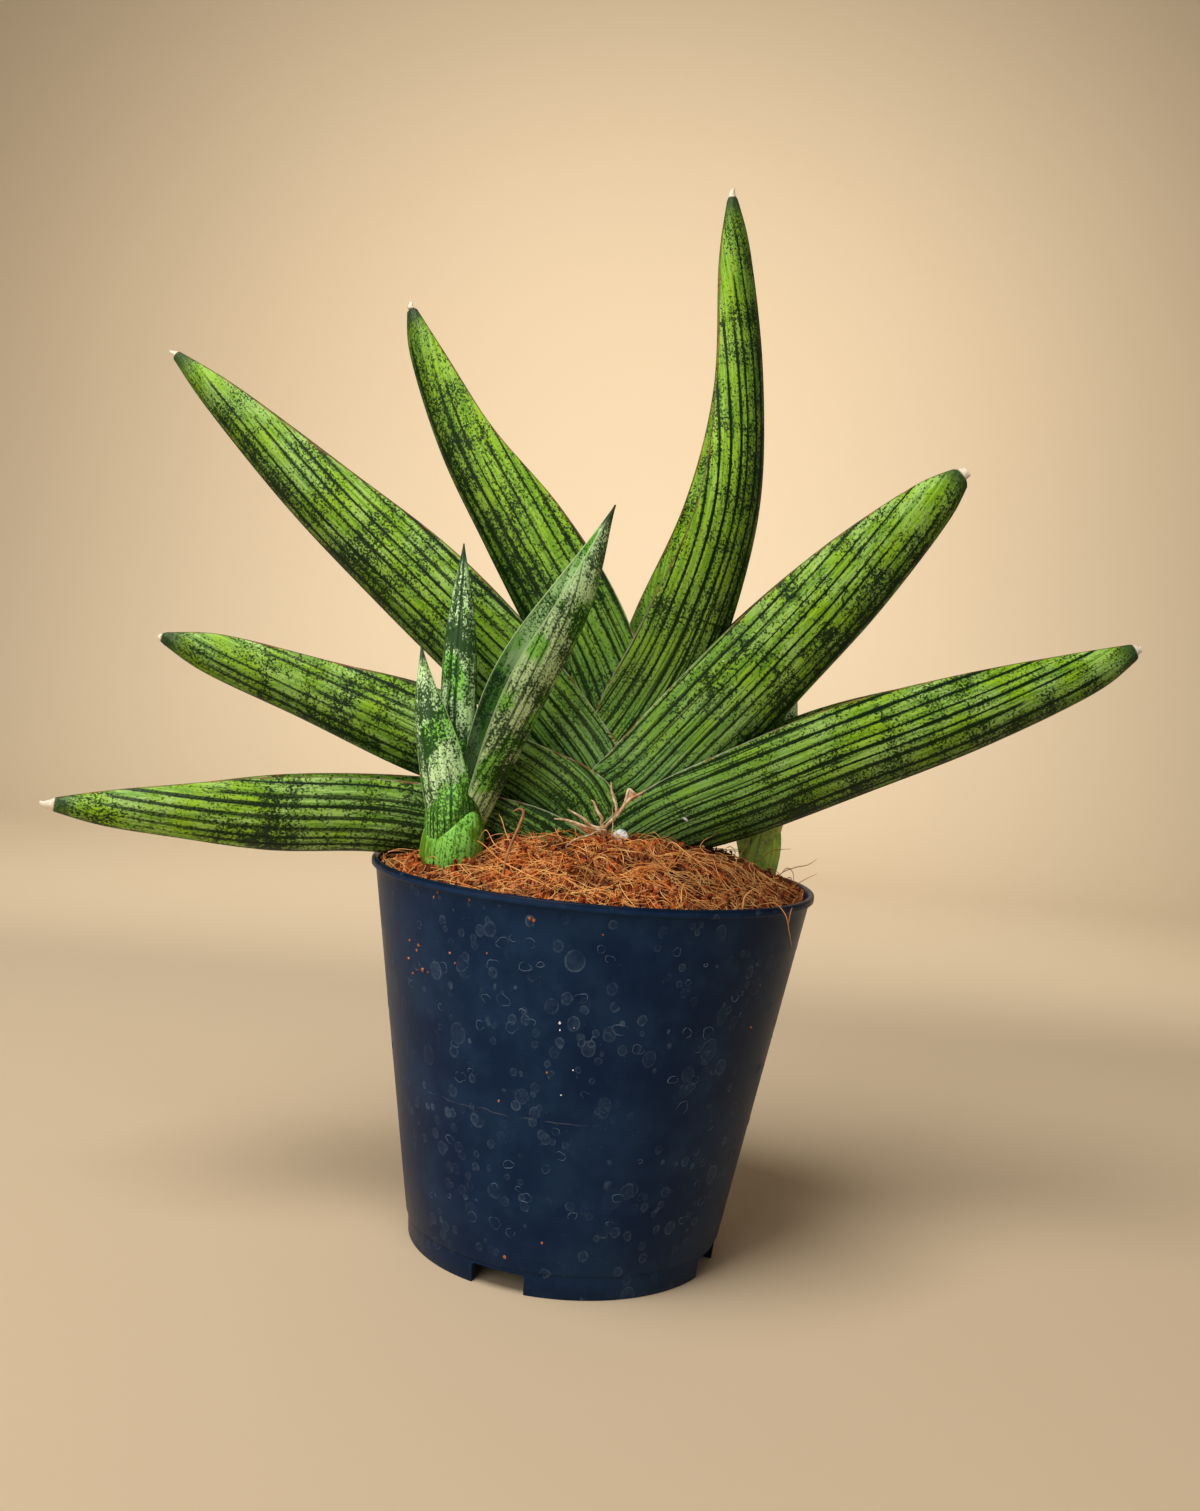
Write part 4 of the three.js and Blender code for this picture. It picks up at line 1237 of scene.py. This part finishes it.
class SNAKEPLANT_OT_pot(bpy.types.Operator):
    """Turn the nursery pot, cut its notches and drain holes, and give it its worn plastic"""

    bl_idname = "snake_plant.pot"
    bl_label = "Nursery pot"

    # Crumbs on the outside: bearing in degrees from the front, height and radius in millimetres
    coir_specks = [
        (-38.9, 123.7, 0.7), (-40.3, 121.8, 0.6), (-27.1, 124.8, 0.5), (-29.1, 123.4, 0.6),
        (-13.6, 120.7, 1.0), (-12.7, 120.3, 0.7), (3.5, 118.0, 0.35), (-47.2, 105.3, 0.8),
        (-48.2, 103.4, 0.6), (-51.3, 105.8, 0.5), (-52.4, 99.8, 0.6), (-46.0, 97.7, 0.8),
        (-43.9, 97.6, 0.5), (-35.5, 105.6, 0.5), (-24.4, 108.0, 0.4), (-34.0, 102.8, 0.35),
        (-7.4, 73.8, 0.4), (-20.6, 62.4, 0.45), (52.9, 87.5, 0.7), (62.8, 118.0, 0.5), (-50.8, 95.4, 0.6),
        (52.1, 101.5, 0.3), (-17.6, 11.7, 0.7), (-5.6, 18.6, 0.5), (118, 96, 0.5), (150, 112, 0.6),
        (-120, 104, 0.7), (-135, 60, 0.4), (96, 40, 0.5), (171, 80, 0.5),
    ]
    # Dried water marks: bearing and height of the middle, and the radius
    water_marks = [
        (-38.1, 100.3, 1.9), (-31.8, 102.7, 2.2), (-22.8, 104.7, 2.0), (-14.4, 105.7, 1.7),
        (-20.2, 112.0, 2.0), (-13.4, 113.2, 1.6), (-19.9, 94.4, 2.1), (-26.4, 85.2, 1.6),
        (-17.3, 86.5, 2.0), (-12.5, 88.7, 1.5), (-33.2, 67.0, 2.0), (10.3, 89.2, 2.1), (15.7, 83.1, 1.8),
        (28.8, 88.3, 1.7), (35.5, 87.9, 2.1), (42.4, 98.8, 1.6), (33.8, 72.8, 1.9), (27.2, 73.3, 1.5),
        (32.0, 63.8, 2.2), (-11.7, 32.6, 1.9), (16.4, 34.9, 1.7), (-29.7, 22.1, 1.8), (-21.3, 22.3, 2.0),
    ]
    chalk_specks = [(-4.9, 89.9, 0.55), (-4.8, 87.7, 0.35), (-1.3, 88.8, 0.25), (-3.2, 67.4, 0.35),
                    (-0.6, 75.6, 0.25), (139, 70, 0.4), (-98, 84, 0.3)]

    def execute(self, context):
        pot = settings().pot
        # The lip, the foot, the wall, the lip's underside and the inside, as (radius, height)
        lip = [(74.72, 124.5), (74.95, 124.75), (75.0, 125.2), (75.0, 126.2), (74.85, 126.65),
               (74.45, 126.92), (74.0, 127.0), (73.55, 126.92), (73.1, 126.6),
               (pot_wall(127) - POT_WALL, 126.0)]
        profile = [(0, POT_FLOOR_UNDERSIDE), (FOOT_RING_INSIDE, POT_FLOOR_UNDERSIDE),
                   (FOOT_RING_INSIDE, 0.25), (FOOT_RING_INSIDE + 0.2, 0), (POT_FOOT_RADIUS - 0.2, 0),
                   (POT_FOOT_RADIUS, 0.2),
                   (pot_wall(8.0) - 0.7, 8.0), (pot_wall(8.3) - 0.15, 8.15), (pot_wall(8.4), 8.5)]
        profile += [(pot_wall(z), z) for z in (30, 60, 90, 110, 121.6)]
        profile += [(pot_wall(123.9) - 0.05, 123.9), (pot_wall(124.3), 124.2), *lip]
        profile += [(pot_wall(z) - POT_WALL, z) for z in (118, 90, 50, POT_FLOOR_TOP)]
        profile += [(0, POT_FLOOR_TOP)]
        bm = bmesh.new()
        turned(bm, profile, pot.steps)
        cutters = [self.notch(bearing) for bearing in NOTCH_BEARINGS]
        cutters += [self.drain(bearing) for bearing in DRAIN_BEARINGS]
        mesh = cut_away(to_mesh(bm), cutters)
        finished("nursery_pot_shell", mesh, [pot_finish()], "pot_plastic", ["nursery_pot"])
        finished("pot_coir_specks", self.specks(self.coir_specks, 3), [speck_finish()], "coir")
        mark = mottled_finish("dried_water", (500, 3.0), (0.35, 0.6), tone(38, 56, 80), tone(88, 106, 130),
                              0.7, 0.1)[0].material
        finished("pot_water_marks", fibres(self.marks(), [mark]), [mark], "pot_plastic")
        finished("pot_chalk_specks", self.specks(self.chalk_specks, 9), [perlite_finish()], "perlite")
        return {"FINISHED"}

    def marks(self):
        """The outlines that dried drops left on the wall: open, uneven rings, more of them at the back."""
        draw = random.Random(17)
        places = list(self.water_marks)
        places += [(draw.uniform(-55, 50), draw.uniform(15, 118), draw.uniform(0.6, 1.9)) for _ in range(44)]
        places += [(draw.uniform(60, 300), draw.uniform(15, 118), draw.uniform(0.8, 2.3)) for _ in range(60)]
        strands = []
        for bearing, z, size in places:
            wobble = [draw.uniform(0, 6.3) for _ in range(3)]
            begin, sweep = draw.uniform(0, 6.3), draw.uniform(4.2, 6.6)
            points = []
            for i in range(29):
                angle = begin + sweep * i / 28
                reach = size * (1 + 0.13 * math.sin(2 * angle + wobble[0])
                                + 0.08 * math.sin(3 * angle + wobble[1])
                                + 0.05 * math.sin(5 * angle + wobble[2]))
                height = z + 0.85 * reach * math.sin(angle)
                wall = pot_wall(height)
                around = math.radians(bearing) + reach * math.cos(angle) / wall
                points.append((wall * math.sin(around), -wall * math.cos(around), height))
            strands.append((points, draw.uniform(0.09, 0.16), 0))
        return strands

    def specks(self, places, seed):
        """Crumbs stuck to the outside of the pot."""
        draw = random.Random(seed)
        bm = bmesh.new()
        for bearing, z, size in places:
            turn = Matrix.Rotation(math.radians(bearing), 4, "Z")
            reach = Matrix.Translation((0, -(pot_wall(z) + 0.12 * size) * MM, z * MM))
            own = Matrix.Diagonal((draw.uniform(0.7, 1.2), 0.5, draw.uniform(0.7, 1.3), 1))
            for vert in bmesh.ops.create_icosphere(bm, subdivisions=2, radius=0.8 * size * MM,
                                                   matrix=turn @ reach @ own)["verts"]:
                vert.co += crooked(vert.co * 1900) * 0.35 * size * MM
        return to_mesh(bm)

    def notch(self, bearing):
        bm = bmesh.new()
        bmesh.ops.create_cube(bm, size=1)
        bmesh.ops.scale(bm, verts=bm.verts[:], vec=(0.0104, 0.018, 0.013))
        ends = [(edge, *(vert.co for vert in edge.verts)) for edge in bm.edges]
        top = [edge for edge, first, second in ends if abs(first.x - second.x) > 0.005 and first.z > 0]
        bmesh.ops.bevel(bm, geom=top, offset=0.0012, segments=4, profile=0.5, affect="EDGES", material=-1)
        return self.swung(bm, POT_FOOT_RADIUS, 0, bearing)

    def drain(self, bearing):
        bm = bmesh.new()
        bmesh.ops.create_cone(bm, cap_ends=True, segments=24, radius1=5 * MM, radius2=5 * MM, depth=6 * MM)
        return self.swung(bm, 43, POT_FLOOR_TOP, bearing)

    def swung(self, bm, radius, height, bearing):
        """The shape moved out to a radius and height and swung round to its bearing."""
        bmesh.ops.translate(bm, verts=bm.verts[:], vec=(radius * MM, 0, height * MM))
        turn = Matrix.Rotation(math.radians(bearing), 3, "Z")
        bmesh.ops.rotate(bm, verts=bm.verts[:], cent=(0, 0, 0), matrix=turn)
        return bm


class SNAKEPLANT_OT_fan_leaves(bpy.types.Operator):
    """Loft the seven thick leaves of the fan"""

    bl_idname = "snake_plant.fan_leaves"
    bl_label = "Fan leaves"

    def execute(self, context):
        skin = fan_leaf_finish()
        for number, (node, own) in enumerate(FAN.items()):
            leaf = LEAF_DEFAULTS | own
            sections = shape_stub(fan_sections(leaf, settings().leaves.stations), leaf["stub"], number + 0.5)
            mesh = leaf_mesh(sections, *FAN_OUTLINE, number * 1.7 + 0.4, leaf["bands"],
                             leaf["stub"], leaf["keel_shade"], leaf["haze"])
            finished(node + "_blade", mesh, [skin], "leaf", [node])["leafy"] = True
        return {"FINISHED"}


class SNAKEPLANT_OT_front_pup(bpy.types.Operator):
    """Loft the young leaves and sheath scales of the pup in front"""

    bl_idname = "snake_plant.front_pup"
    bl_label = "Front pup"

    def execute(self, context):
        plant = settings().pups
        skin = young_leaf_finish("young_leaf_skin", plant.fresh, (8, 34, 0.7, 0.0), 0.75)
        sheaths = {"pup_front_sheath_low": sheath_finish("outer_sheath_skin", 0.595, 0.4, plant.sheath),
                   "pup_front_sheath_high": sheath_finish("inner_sheath_skin", 0.505, 1.0, plant.sheath)}
        grow_pup(FRONT_PUP, 21.3, skin, sheaths)
        return {"FINISHED"}


class SNAKEPLANT_OT_rear_pup(bpy.types.Operator):
    """Loft the young leaves and the sheath scale of the pup behind"""

    bl_idname = "snake_plant.rear_pup"
    bl_label = "Rear pup"

    def execute(self, context):
        # Painted light: the rear pup's pale foot and sheath are brighter than their own yellow-green, as if lit
        # through from behind
        pale = settings().pups.pale_and_backlit_foot
        skin = young_leaf_finish("rear_young_leaf_skin", pale, (30, 48, 0.95, 0.0), 0.1)
        sheaths = {"pup_rear_sheath": sheath_finish("rear_sheath_skin", 0.65, 0.15, pale)}
        grow_pup(REAR_PUP, 37.1, skin, sheaths)
        return {"FINISHED"}


def grow_pup(pup, first_seed, skin, sheaths):
    """The leaves of a pup, with bands at random steps, and its sheath scales, which have none."""
    for number, (node, leaf) in enumerate(pup.items()):
        draw = random.Random(number + int(first_seed))
        bands = [(18 + 15 * i + draw.uniform(-3, 3), draw.uniform(3, 6), draw.uniform(0.5, 1.0))
                 for i in range(7)]
        mesh = leaf_mesh(pup_sections(leaf, settings().pups.stations), *PUP_OUTLINE,
                         first_seed + 1.9 * number, () if node in sheaths else bands)
        slot = "sheath" if node in sheaths else "young_leaf"
        finished(node + "_blade", mesh, [sheaths.get(node, skin)], slot, [node])["leafy"] = True


class SNAKEPLANT_OT_coir(bpy.types.Operator):
    """Heap the coir in the pot and strew its fibres"""

    bl_idname = "snake_plant.coir"
    bl_label = "Coir"

    # Single long fibres that stand clear: points in millimetres, the radius and the shade
    loose = [
        ([(44, -8, 128), (46.2, -5, 132.3), (49.3, 0, 136.7), (52.7, 4, 141.7), (55.2, 6, 146.6),
          (56.8, 8, 150.4)], 0.17, 0),
        ([(50, 8, 128), (53.5, 10, 132), (57.7, 12, 134.2), (60.8, 14, 136.8), (63.7, 15, 138),
          (68.7, 16, 138.7)], 0.15, 3),
        ([(60, 8, 125), (63.6, 10, 128.7), (66.8, 12, 131.2), (71.1, 14, 132.7), (75.2, 16, 133.6),
          (78.5, 18, 135.7)], 0.16, 3),
        ([(62, -2, 124), (66.7, 0, 126.6), (69.9, 2, 128.3), (73.8, 4, 130.5), (77.1, 6, 131.9)], 0.14, 1),
        ([(62, 8, 127), (65.2, 10, 130.3), (67.4, 12, 132.3), (69.8, 13, 130.6), (70.3, 13, 126)], 0.15, 2),
        ([(21, -36, 139.5), (23.7, -38, 143.1), (27.3, -40, 141.1), (31.2, -42, 138.6), (34.7, -44, 136.3),
          (40, -47, 133)], 0.2, 0),
        ([(26, -34, 136), (29, -32.6, 137.6), (32.3, -32, 139.7), (35.9, -32, 139.1), (34, -30.6, 140.6),
          (33.2, -30.6, 141.8), (34.3, -30.6, 143.8), (36.7, -30.6, 145.3)], 0.15, 0),
        ([(45.7, -56.6, 123), (45.9, -56, 127.4), (46.4, -54, 130.2), (48.9, -52, 132.6)], 0.34, 0),
        ([(50, -44, 126), (54.7, -50, 128.5), (56.6, -54, 128.6), (58.6, -58.2, 126.5), (59.6, -59, 123.5),
          (61.6, -57.2, 116.8)], 0.17, 1),
        ([(59.6, -59, 123.5), (60, -58.2, 127.1), (60.7, -56, 128.6)], 0.15, 1),
        ([(-37, -37, 138), (-34.6, -40, 141.8), (-31.1, -44, 137.8), (-26.8, -46, 136.3)], 0.15, 0),
        ([(-31, -40, 147), (-29.8, -42, 145.6), (-28.1, -44, 141.9), (-25.5, -46, 138)], 0.13, 0),
        ([(-37, -42, 138.5), (-34.5, -44, 137.5), (-28.8, -50, 134.1), (-22.2, -54, 131.9),
          (-15.8, -58, 130.2)], 0.17, 0),
    ]

    def execute(self, context):
        coir = settings().coir
        shades = [fibre_finish("fibre_straw", tone(255, 196, 116), tone(236, 142, 62)),
                  fibre_finish("fibre_golden", tone(238, 130, 52), tone(184, 82, 28)),
                  fibre_finish("fibre_russet", tone(178, 80, 30), tone(110, 42, 12)),
                  fibre_finish("fibre_brown", tone(86, 32, 12), tone(42, 15, 5))]
        self.mound(coir_finish("coir_crumb"))
        trees = leaf_trees()
        draw = random.Random(coir.seed)
        self.crumbs(trees, draw, coir.crumbs, coir_finish("coir_grains"))
        short = self.strew(trees, draw, coir.short_fibres, (4, 12), (0.07, 0.15), (2, 4, 6, 7),
                           curl=1.3, lift=0.9, steps=6, sink=1.0)
        finished("coir_fibres_short", fibres(short, shades), shades, "coir")
        long = self.strew(trees, draw, coir.long_fibres, (14, 40), (0.08, 0.16), (6, 6, 3, 2),
                          curl=1.5, lift=1.5, steps=11, sink=0.15)
        long += [(rounded(line, 14), radius, shade) for line, radius, shade in self.loose]
        finished("coir_fibres_long", fibres(long, shades), shades, "coir")
        return {"FINISHED"}

    def mound(self, skin):
        bm = bmesh.new()
        hollow = bm.verts.layers.float.new("hollow")
        bmesh.ops.create_grid(bm, x_segments=290, y_segments=290, size=1)
        edge = pot_wall(COIR_EDGE) - POT_WALL - 0.1
        for vert in bm.verts:
            x, y = vert.co.x, vert.co.y
            x, y = edge * x * math.sqrt(1 - y * y / 2), edge * y * math.sqrt(1 - x * x / 2)
            relief = coir_relief(x, y)
            # How deep the point lies in the relief, for the painted shade in the coir's hollows
            vert[hollow] = min(1.0, max(0.0, 0.5 - 0.38 * relief))
            vert.co = (x * MM, y * MM, (coir_height(x, y) - CRUMB_LEVEL + relief) * MM)
        for vert in pulled_out(bm, [e for e in bm.edges if e.is_boundary]):
            vert.co = Vector((vert.co.x * 0.92, vert.co.y * 0.92, 0.100))
        bmesh.ops.contextual_create(bm, geom=[e for e in bm.edges if e.is_boundary])
        face_out(bm)
        finished("coir_mound", to_mesh(bm, 3.2), [skin], "coir", ["coir"])

    def crumbs(self, trees, draw, count, skin):
        """Loose grains of coir over the mound, gathered a hundred at a time to save time."""
        whole, few = bmesh.new(), bmesh.new()
        carrier = bpy.data.meshes.new("few_grains")
        done = 0
        while done < count:
            radius = GRAIN_FIELD * math.sqrt(draw.random())
            bearing = draw.uniform(0, 2 * math.pi)
            x, y = radius * math.cos(bearing), radius * math.sin(bearing)
            size = draw.uniform(0.3, 0.95)
            relief = coir_relief(x, y)
            spot = (x, y, coir_height(x, y) - CRUMB_LEVEL + relief + 0.35 * size)
            own = [draw.uniform(0.6, 1.3) for _ in range(3)]
            turn = Matrix.Rotation(draw.uniform(0, 6.3), 4, Vector((draw.gauss(0, 1), draw.gauss(0, 1), 1)))
            if radius + size > GRAIN_LIMIT or relief < -0.7 or inside_leaf(trees, spot):
                continue
            place = Matrix.Translation(Vector(spot) * MM) @ turn @ Matrix.Diagonal((*own, 1))
            for vert in bmesh.ops.create_icosphere(few, subdivisions=1, radius=size * MM,
                                                   matrix=place)["verts"]:
                vert.co += Vector([draw.uniform(-1, 1) for _ in range(3)]) * 0.22 * size * MM
            done += 1
            if done % 100 == 0 or done == count:
                few.to_mesh(carrier)
                whole.from_mesh(carrier)
                few.clear()
        few.free()
        bpy.data.meshes.remove(carrier)
        finished("coir_grains", to_mesh(whole, 0.3), [skin], "coir")

    def strew(self, trees, draw, count, lengths, radii, weights, **manner):
        """So many lying fibres, none of them in a leaf, in shades drawn with these weights."""
        strands = []
        while len(strands) < count:
            points = lying_fibre(draw, draw.uniform(*lengths), **manner)
            radius = draw.uniform(*radii)
            shade = draw.choices(range(4), weights)[0]
            if not any(inside_leaf(trees, point) for point in points):
                strands.append((points, radius, shade))
        return strands


class SNAKEPLANT_OT_litter(bpy.types.Operator):
    """Lay the dried threads and their flap, a twig, the perlite and the flakes, and finish the rhizome"""

    bl_idname = "snake_plant.litter"
    bl_label = "Dried threads and perlite"

    # Dried strands at the foot of the fan: points in millimetres, and the radius
    threads = [
        ([(0.5, -21.5, 138), (2.5, -22, 143.6), (1.1, -22, 145.1), (1.2, -22.3, 147.1), (-0.6, -22, 149.3),
          (-1.8, -22, 151.8), (-2.9, -22, 152.7)], 0.55),
        ([(1, -21, 139), (2.5, -22, 143.6), (3.3, -22, 145.4), (6, -23, 148.6), (8, -23, 151.8),
          (9.7, -23, 154.2), (12.2, -22, 155.7), (14.4, -20.6, 157.1)], 0.6),
        ([(5.6, -22.9, 148.4), (5.4, -23, 151.5), (4.1, -22, 154.3), (3.4, -20, 156.7), (3.1, -18, 158.8)],
         0.42),
        ([(7.6, -23, 151.3), (8.4, -23, 154.4), (9.1, -22, 157.3), (11.5, -22, 155.6), (13.2, -21.4, 155.3)],
         0.42),
        ([(2, -21, 139), (2.8, -22, 143.7), (0.2, -23, 143.9), (-2.5, -23, 144.6), (-4.6, -23, 146.4),
          (-7.3, -22.5, 147.7), (-10.1, -21.6, 148.9)], 0.5),
        ([(3, -22, 140), (2.9, -24, 143.2), (-0.1, -26, 143.5), (-2.7, -27, 144), (-6.3, -28, 145.1),
          (-10.3, -28, 146), (-14.1, -27.6, 146)], 0.5),
        ([(3, -24, 139), (1, -28, 143.1), (-2.7, -34, 142.2), (-6.4, -38, 141.2), (-9.4, -41, 139)], 0.34),
        ([(4.9, -24, 139), (4.9, -24, 142.8), (4.8, -24, 147), (4.1, -24, 151.5)], 0.2),
    ]
    # The torn flap between two of the strands
    flap = [(7.7, -22.9, 151.4), (9.1, -22.1, 157.3), (11.4, -22, 155.8), (13, -21.6, 155.4),
            (10.2, -22.6, 153.6)]
    # Flakes that stick to the leaves: the place, the half length and the half width
    flakes = [((32.1, -22, 145.6), 1.2, 0.5), ((36.6, -16, 202), 0.35, 0.3), ((118.5, 8, 283), 0.8, 0.5)]
    # A stout brown fibre that stands up before the left leaves
    twig = [(-28.2, -53, 121), (-27.7, -52, 126.2), (-26.9, -51, 135), (-25.4, -50, 140.6),
            (-23.9, -50, 145), (-22.9, -50, 149.1), (-24.1, -50, 150.3), (-26.3, -50, 149.3)]

    def execute(self, context):
        husk = dried_finish()
        strands = [(rounded(line, 16), radius, 0) for line, radius in self.threads]
        finished("dried_threads", fibres(strands, [husk], 2), [husk], "dried_sheath",
                 ["dried_sheath_threads"])
        twig = [(rounded(self.twig, 24), 0.46, 0)]
        brown = fibre_finish("twig_bark", tone(190, 132, 90), tone(118, 70, 42))
        finished("coir_twig", fibres(twig, [brown], 2), [brown], "coir")
        bm = bmesh.new()
        bm.faces.new([bm.verts.new(Vector(point) * MM) for point in self.flap])
        bmesh.ops.triangulate(bm, faces=bm.faces[:])
        bmesh.ops.subdivide_edges(bm, edges=bm.edges[:], cuts=3, use_grid_fill=True)
        for vert in bm.verts:
            vert.co.y += 0.5 * MM * noise.noise(vert.co * 420)
        bmesh.ops.solidify(bm, geom=bm.faces[:], thickness=0.18 * MM)
        face_out(bm)
        finished("dried_flap", to_mesh(bm), [husk], "dried_sheath")
        bm = bmesh.new()
        bmesh.ops.create_icosphere(bm, subdivisions=4, radius=2.3 * MM)
        for vert in bm.verts:
            vert.co *= 1 + 0.28 * noise.fractal(vert.co * 520, 0.7, 2.1, 3)
        turn = Matrix.Translation((0.008, -0.0205, 0.1418)) @ Matrix.Rotation(0.5, 4, "Z")
        bmesh.ops.transform(bm, verts=bm.verts[:], matrix=turn @ Matrix.Diagonal((1.15, 0.8, 0.85, 1)))
        finished("perlite_crumb", to_mesh(bm), [perlite_finish()], "perlite",
                 ["perlite_chip"])
        bm = bmesh.new()
        trees = leaf_trees()
        for number, (place, length, width) in enumerate(self.flakes):
            near = [tree.find_nearest(Vector(place) * MM) for tree, _, _ in trees]
            spot, normal, _, _ = min(near, key=lambda found: found[3])
            turn = normal.to_track_quat("Z", "X").to_matrix().to_4x4() @ Matrix.Rotation(1.1 + number, 4, "Z")
            shape = Matrix.Translation(spot) @ turn @ Matrix.Diagonal((length, width, 0.16, 1))
            for vert in bmesh.ops.create_icosphere(bm, subdivisions=3, radius=MM, matrix=shape)["verts"]:
                vert.co += crooked(vert.co * 1500) * 0.2 * MM
        finished("leaf_flakes", to_mesh(bm), [perlite_finish()], "perlite")
        rhizome = frame["nodes"]["rhizome"]
        rhizome.data.materials.clear()
        rhizome.data.materials.append(rhizome_finish())
        return {"FINISHED"}


class SNAKEPLANT_PT_panel(bpy.types.Panel):
    bl_label = "Snake Plant"
    bl_space_type = "VIEW_3D"
    bl_region_type = "UI"
    bl_category = "Snake Plant"

    def draw(self, context):
        plant = context.scene.snake_plant
        groups = (plant.stage, plant.pot, plant.leaves, plant.pups, plant.pups, plant.coir, None)
        for step, group in zip(STEPS, groups):
            self.layout.operator(step.bl_idname)
            for name in group.bl_rna.properties.keys() if group else ():
                if name not in ("rna_type", "name"):
                    self.layout.prop(group, name)


STEPS = [SNAKEPLANT_OT_stage, SNAKEPLANT_OT_pot, SNAKEPLANT_OT_fan_leaves, SNAKEPLANT_OT_front_pup,
         SNAKEPLANT_OT_rear_pup, SNAKEPLANT_OT_coir, SNAKEPLANT_OT_litter]
CLASSES = [PotSettings, CoirSettings, LeafSettings, PupSettings, StageSettings, SnakePlantSettings, *STEPS,
           SNAKEPLANT_PT_panel]


def register():
    for each in CLASSES:
        bpy.utils.register_class(each)
    bpy.types.Scene.snake_plant = bpy.props.PointerProperty(type=SnakePlantSettings)


def unregister():
    del bpy.types.Scene.snake_plant
    for each in reversed(CLASSES):
        bpy.utils.unregister_class(each)


def main():
    register()
    bpy.ops.snake_plant.stage()
    bpy.ops.snake_plant.pot()
    bpy.ops.snake_plant.fan_leaves()
    bpy.ops.snake_plant.front_pup()
    bpy.ops.snake_plant.rear_pup()
    bpy.ops.snake_plant.coir()
    bpy.ops.snake_plant.litter()
    boxes = {"cad": [list(corner) for corner in CAD_BOX], "visual": [list(corner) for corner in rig.bounds()]}
    with open(SIZE_FILE, "w") as size_file:
        json.dump(boxes, size_file, indent=1)


if __name__ == "__main__":
    main()
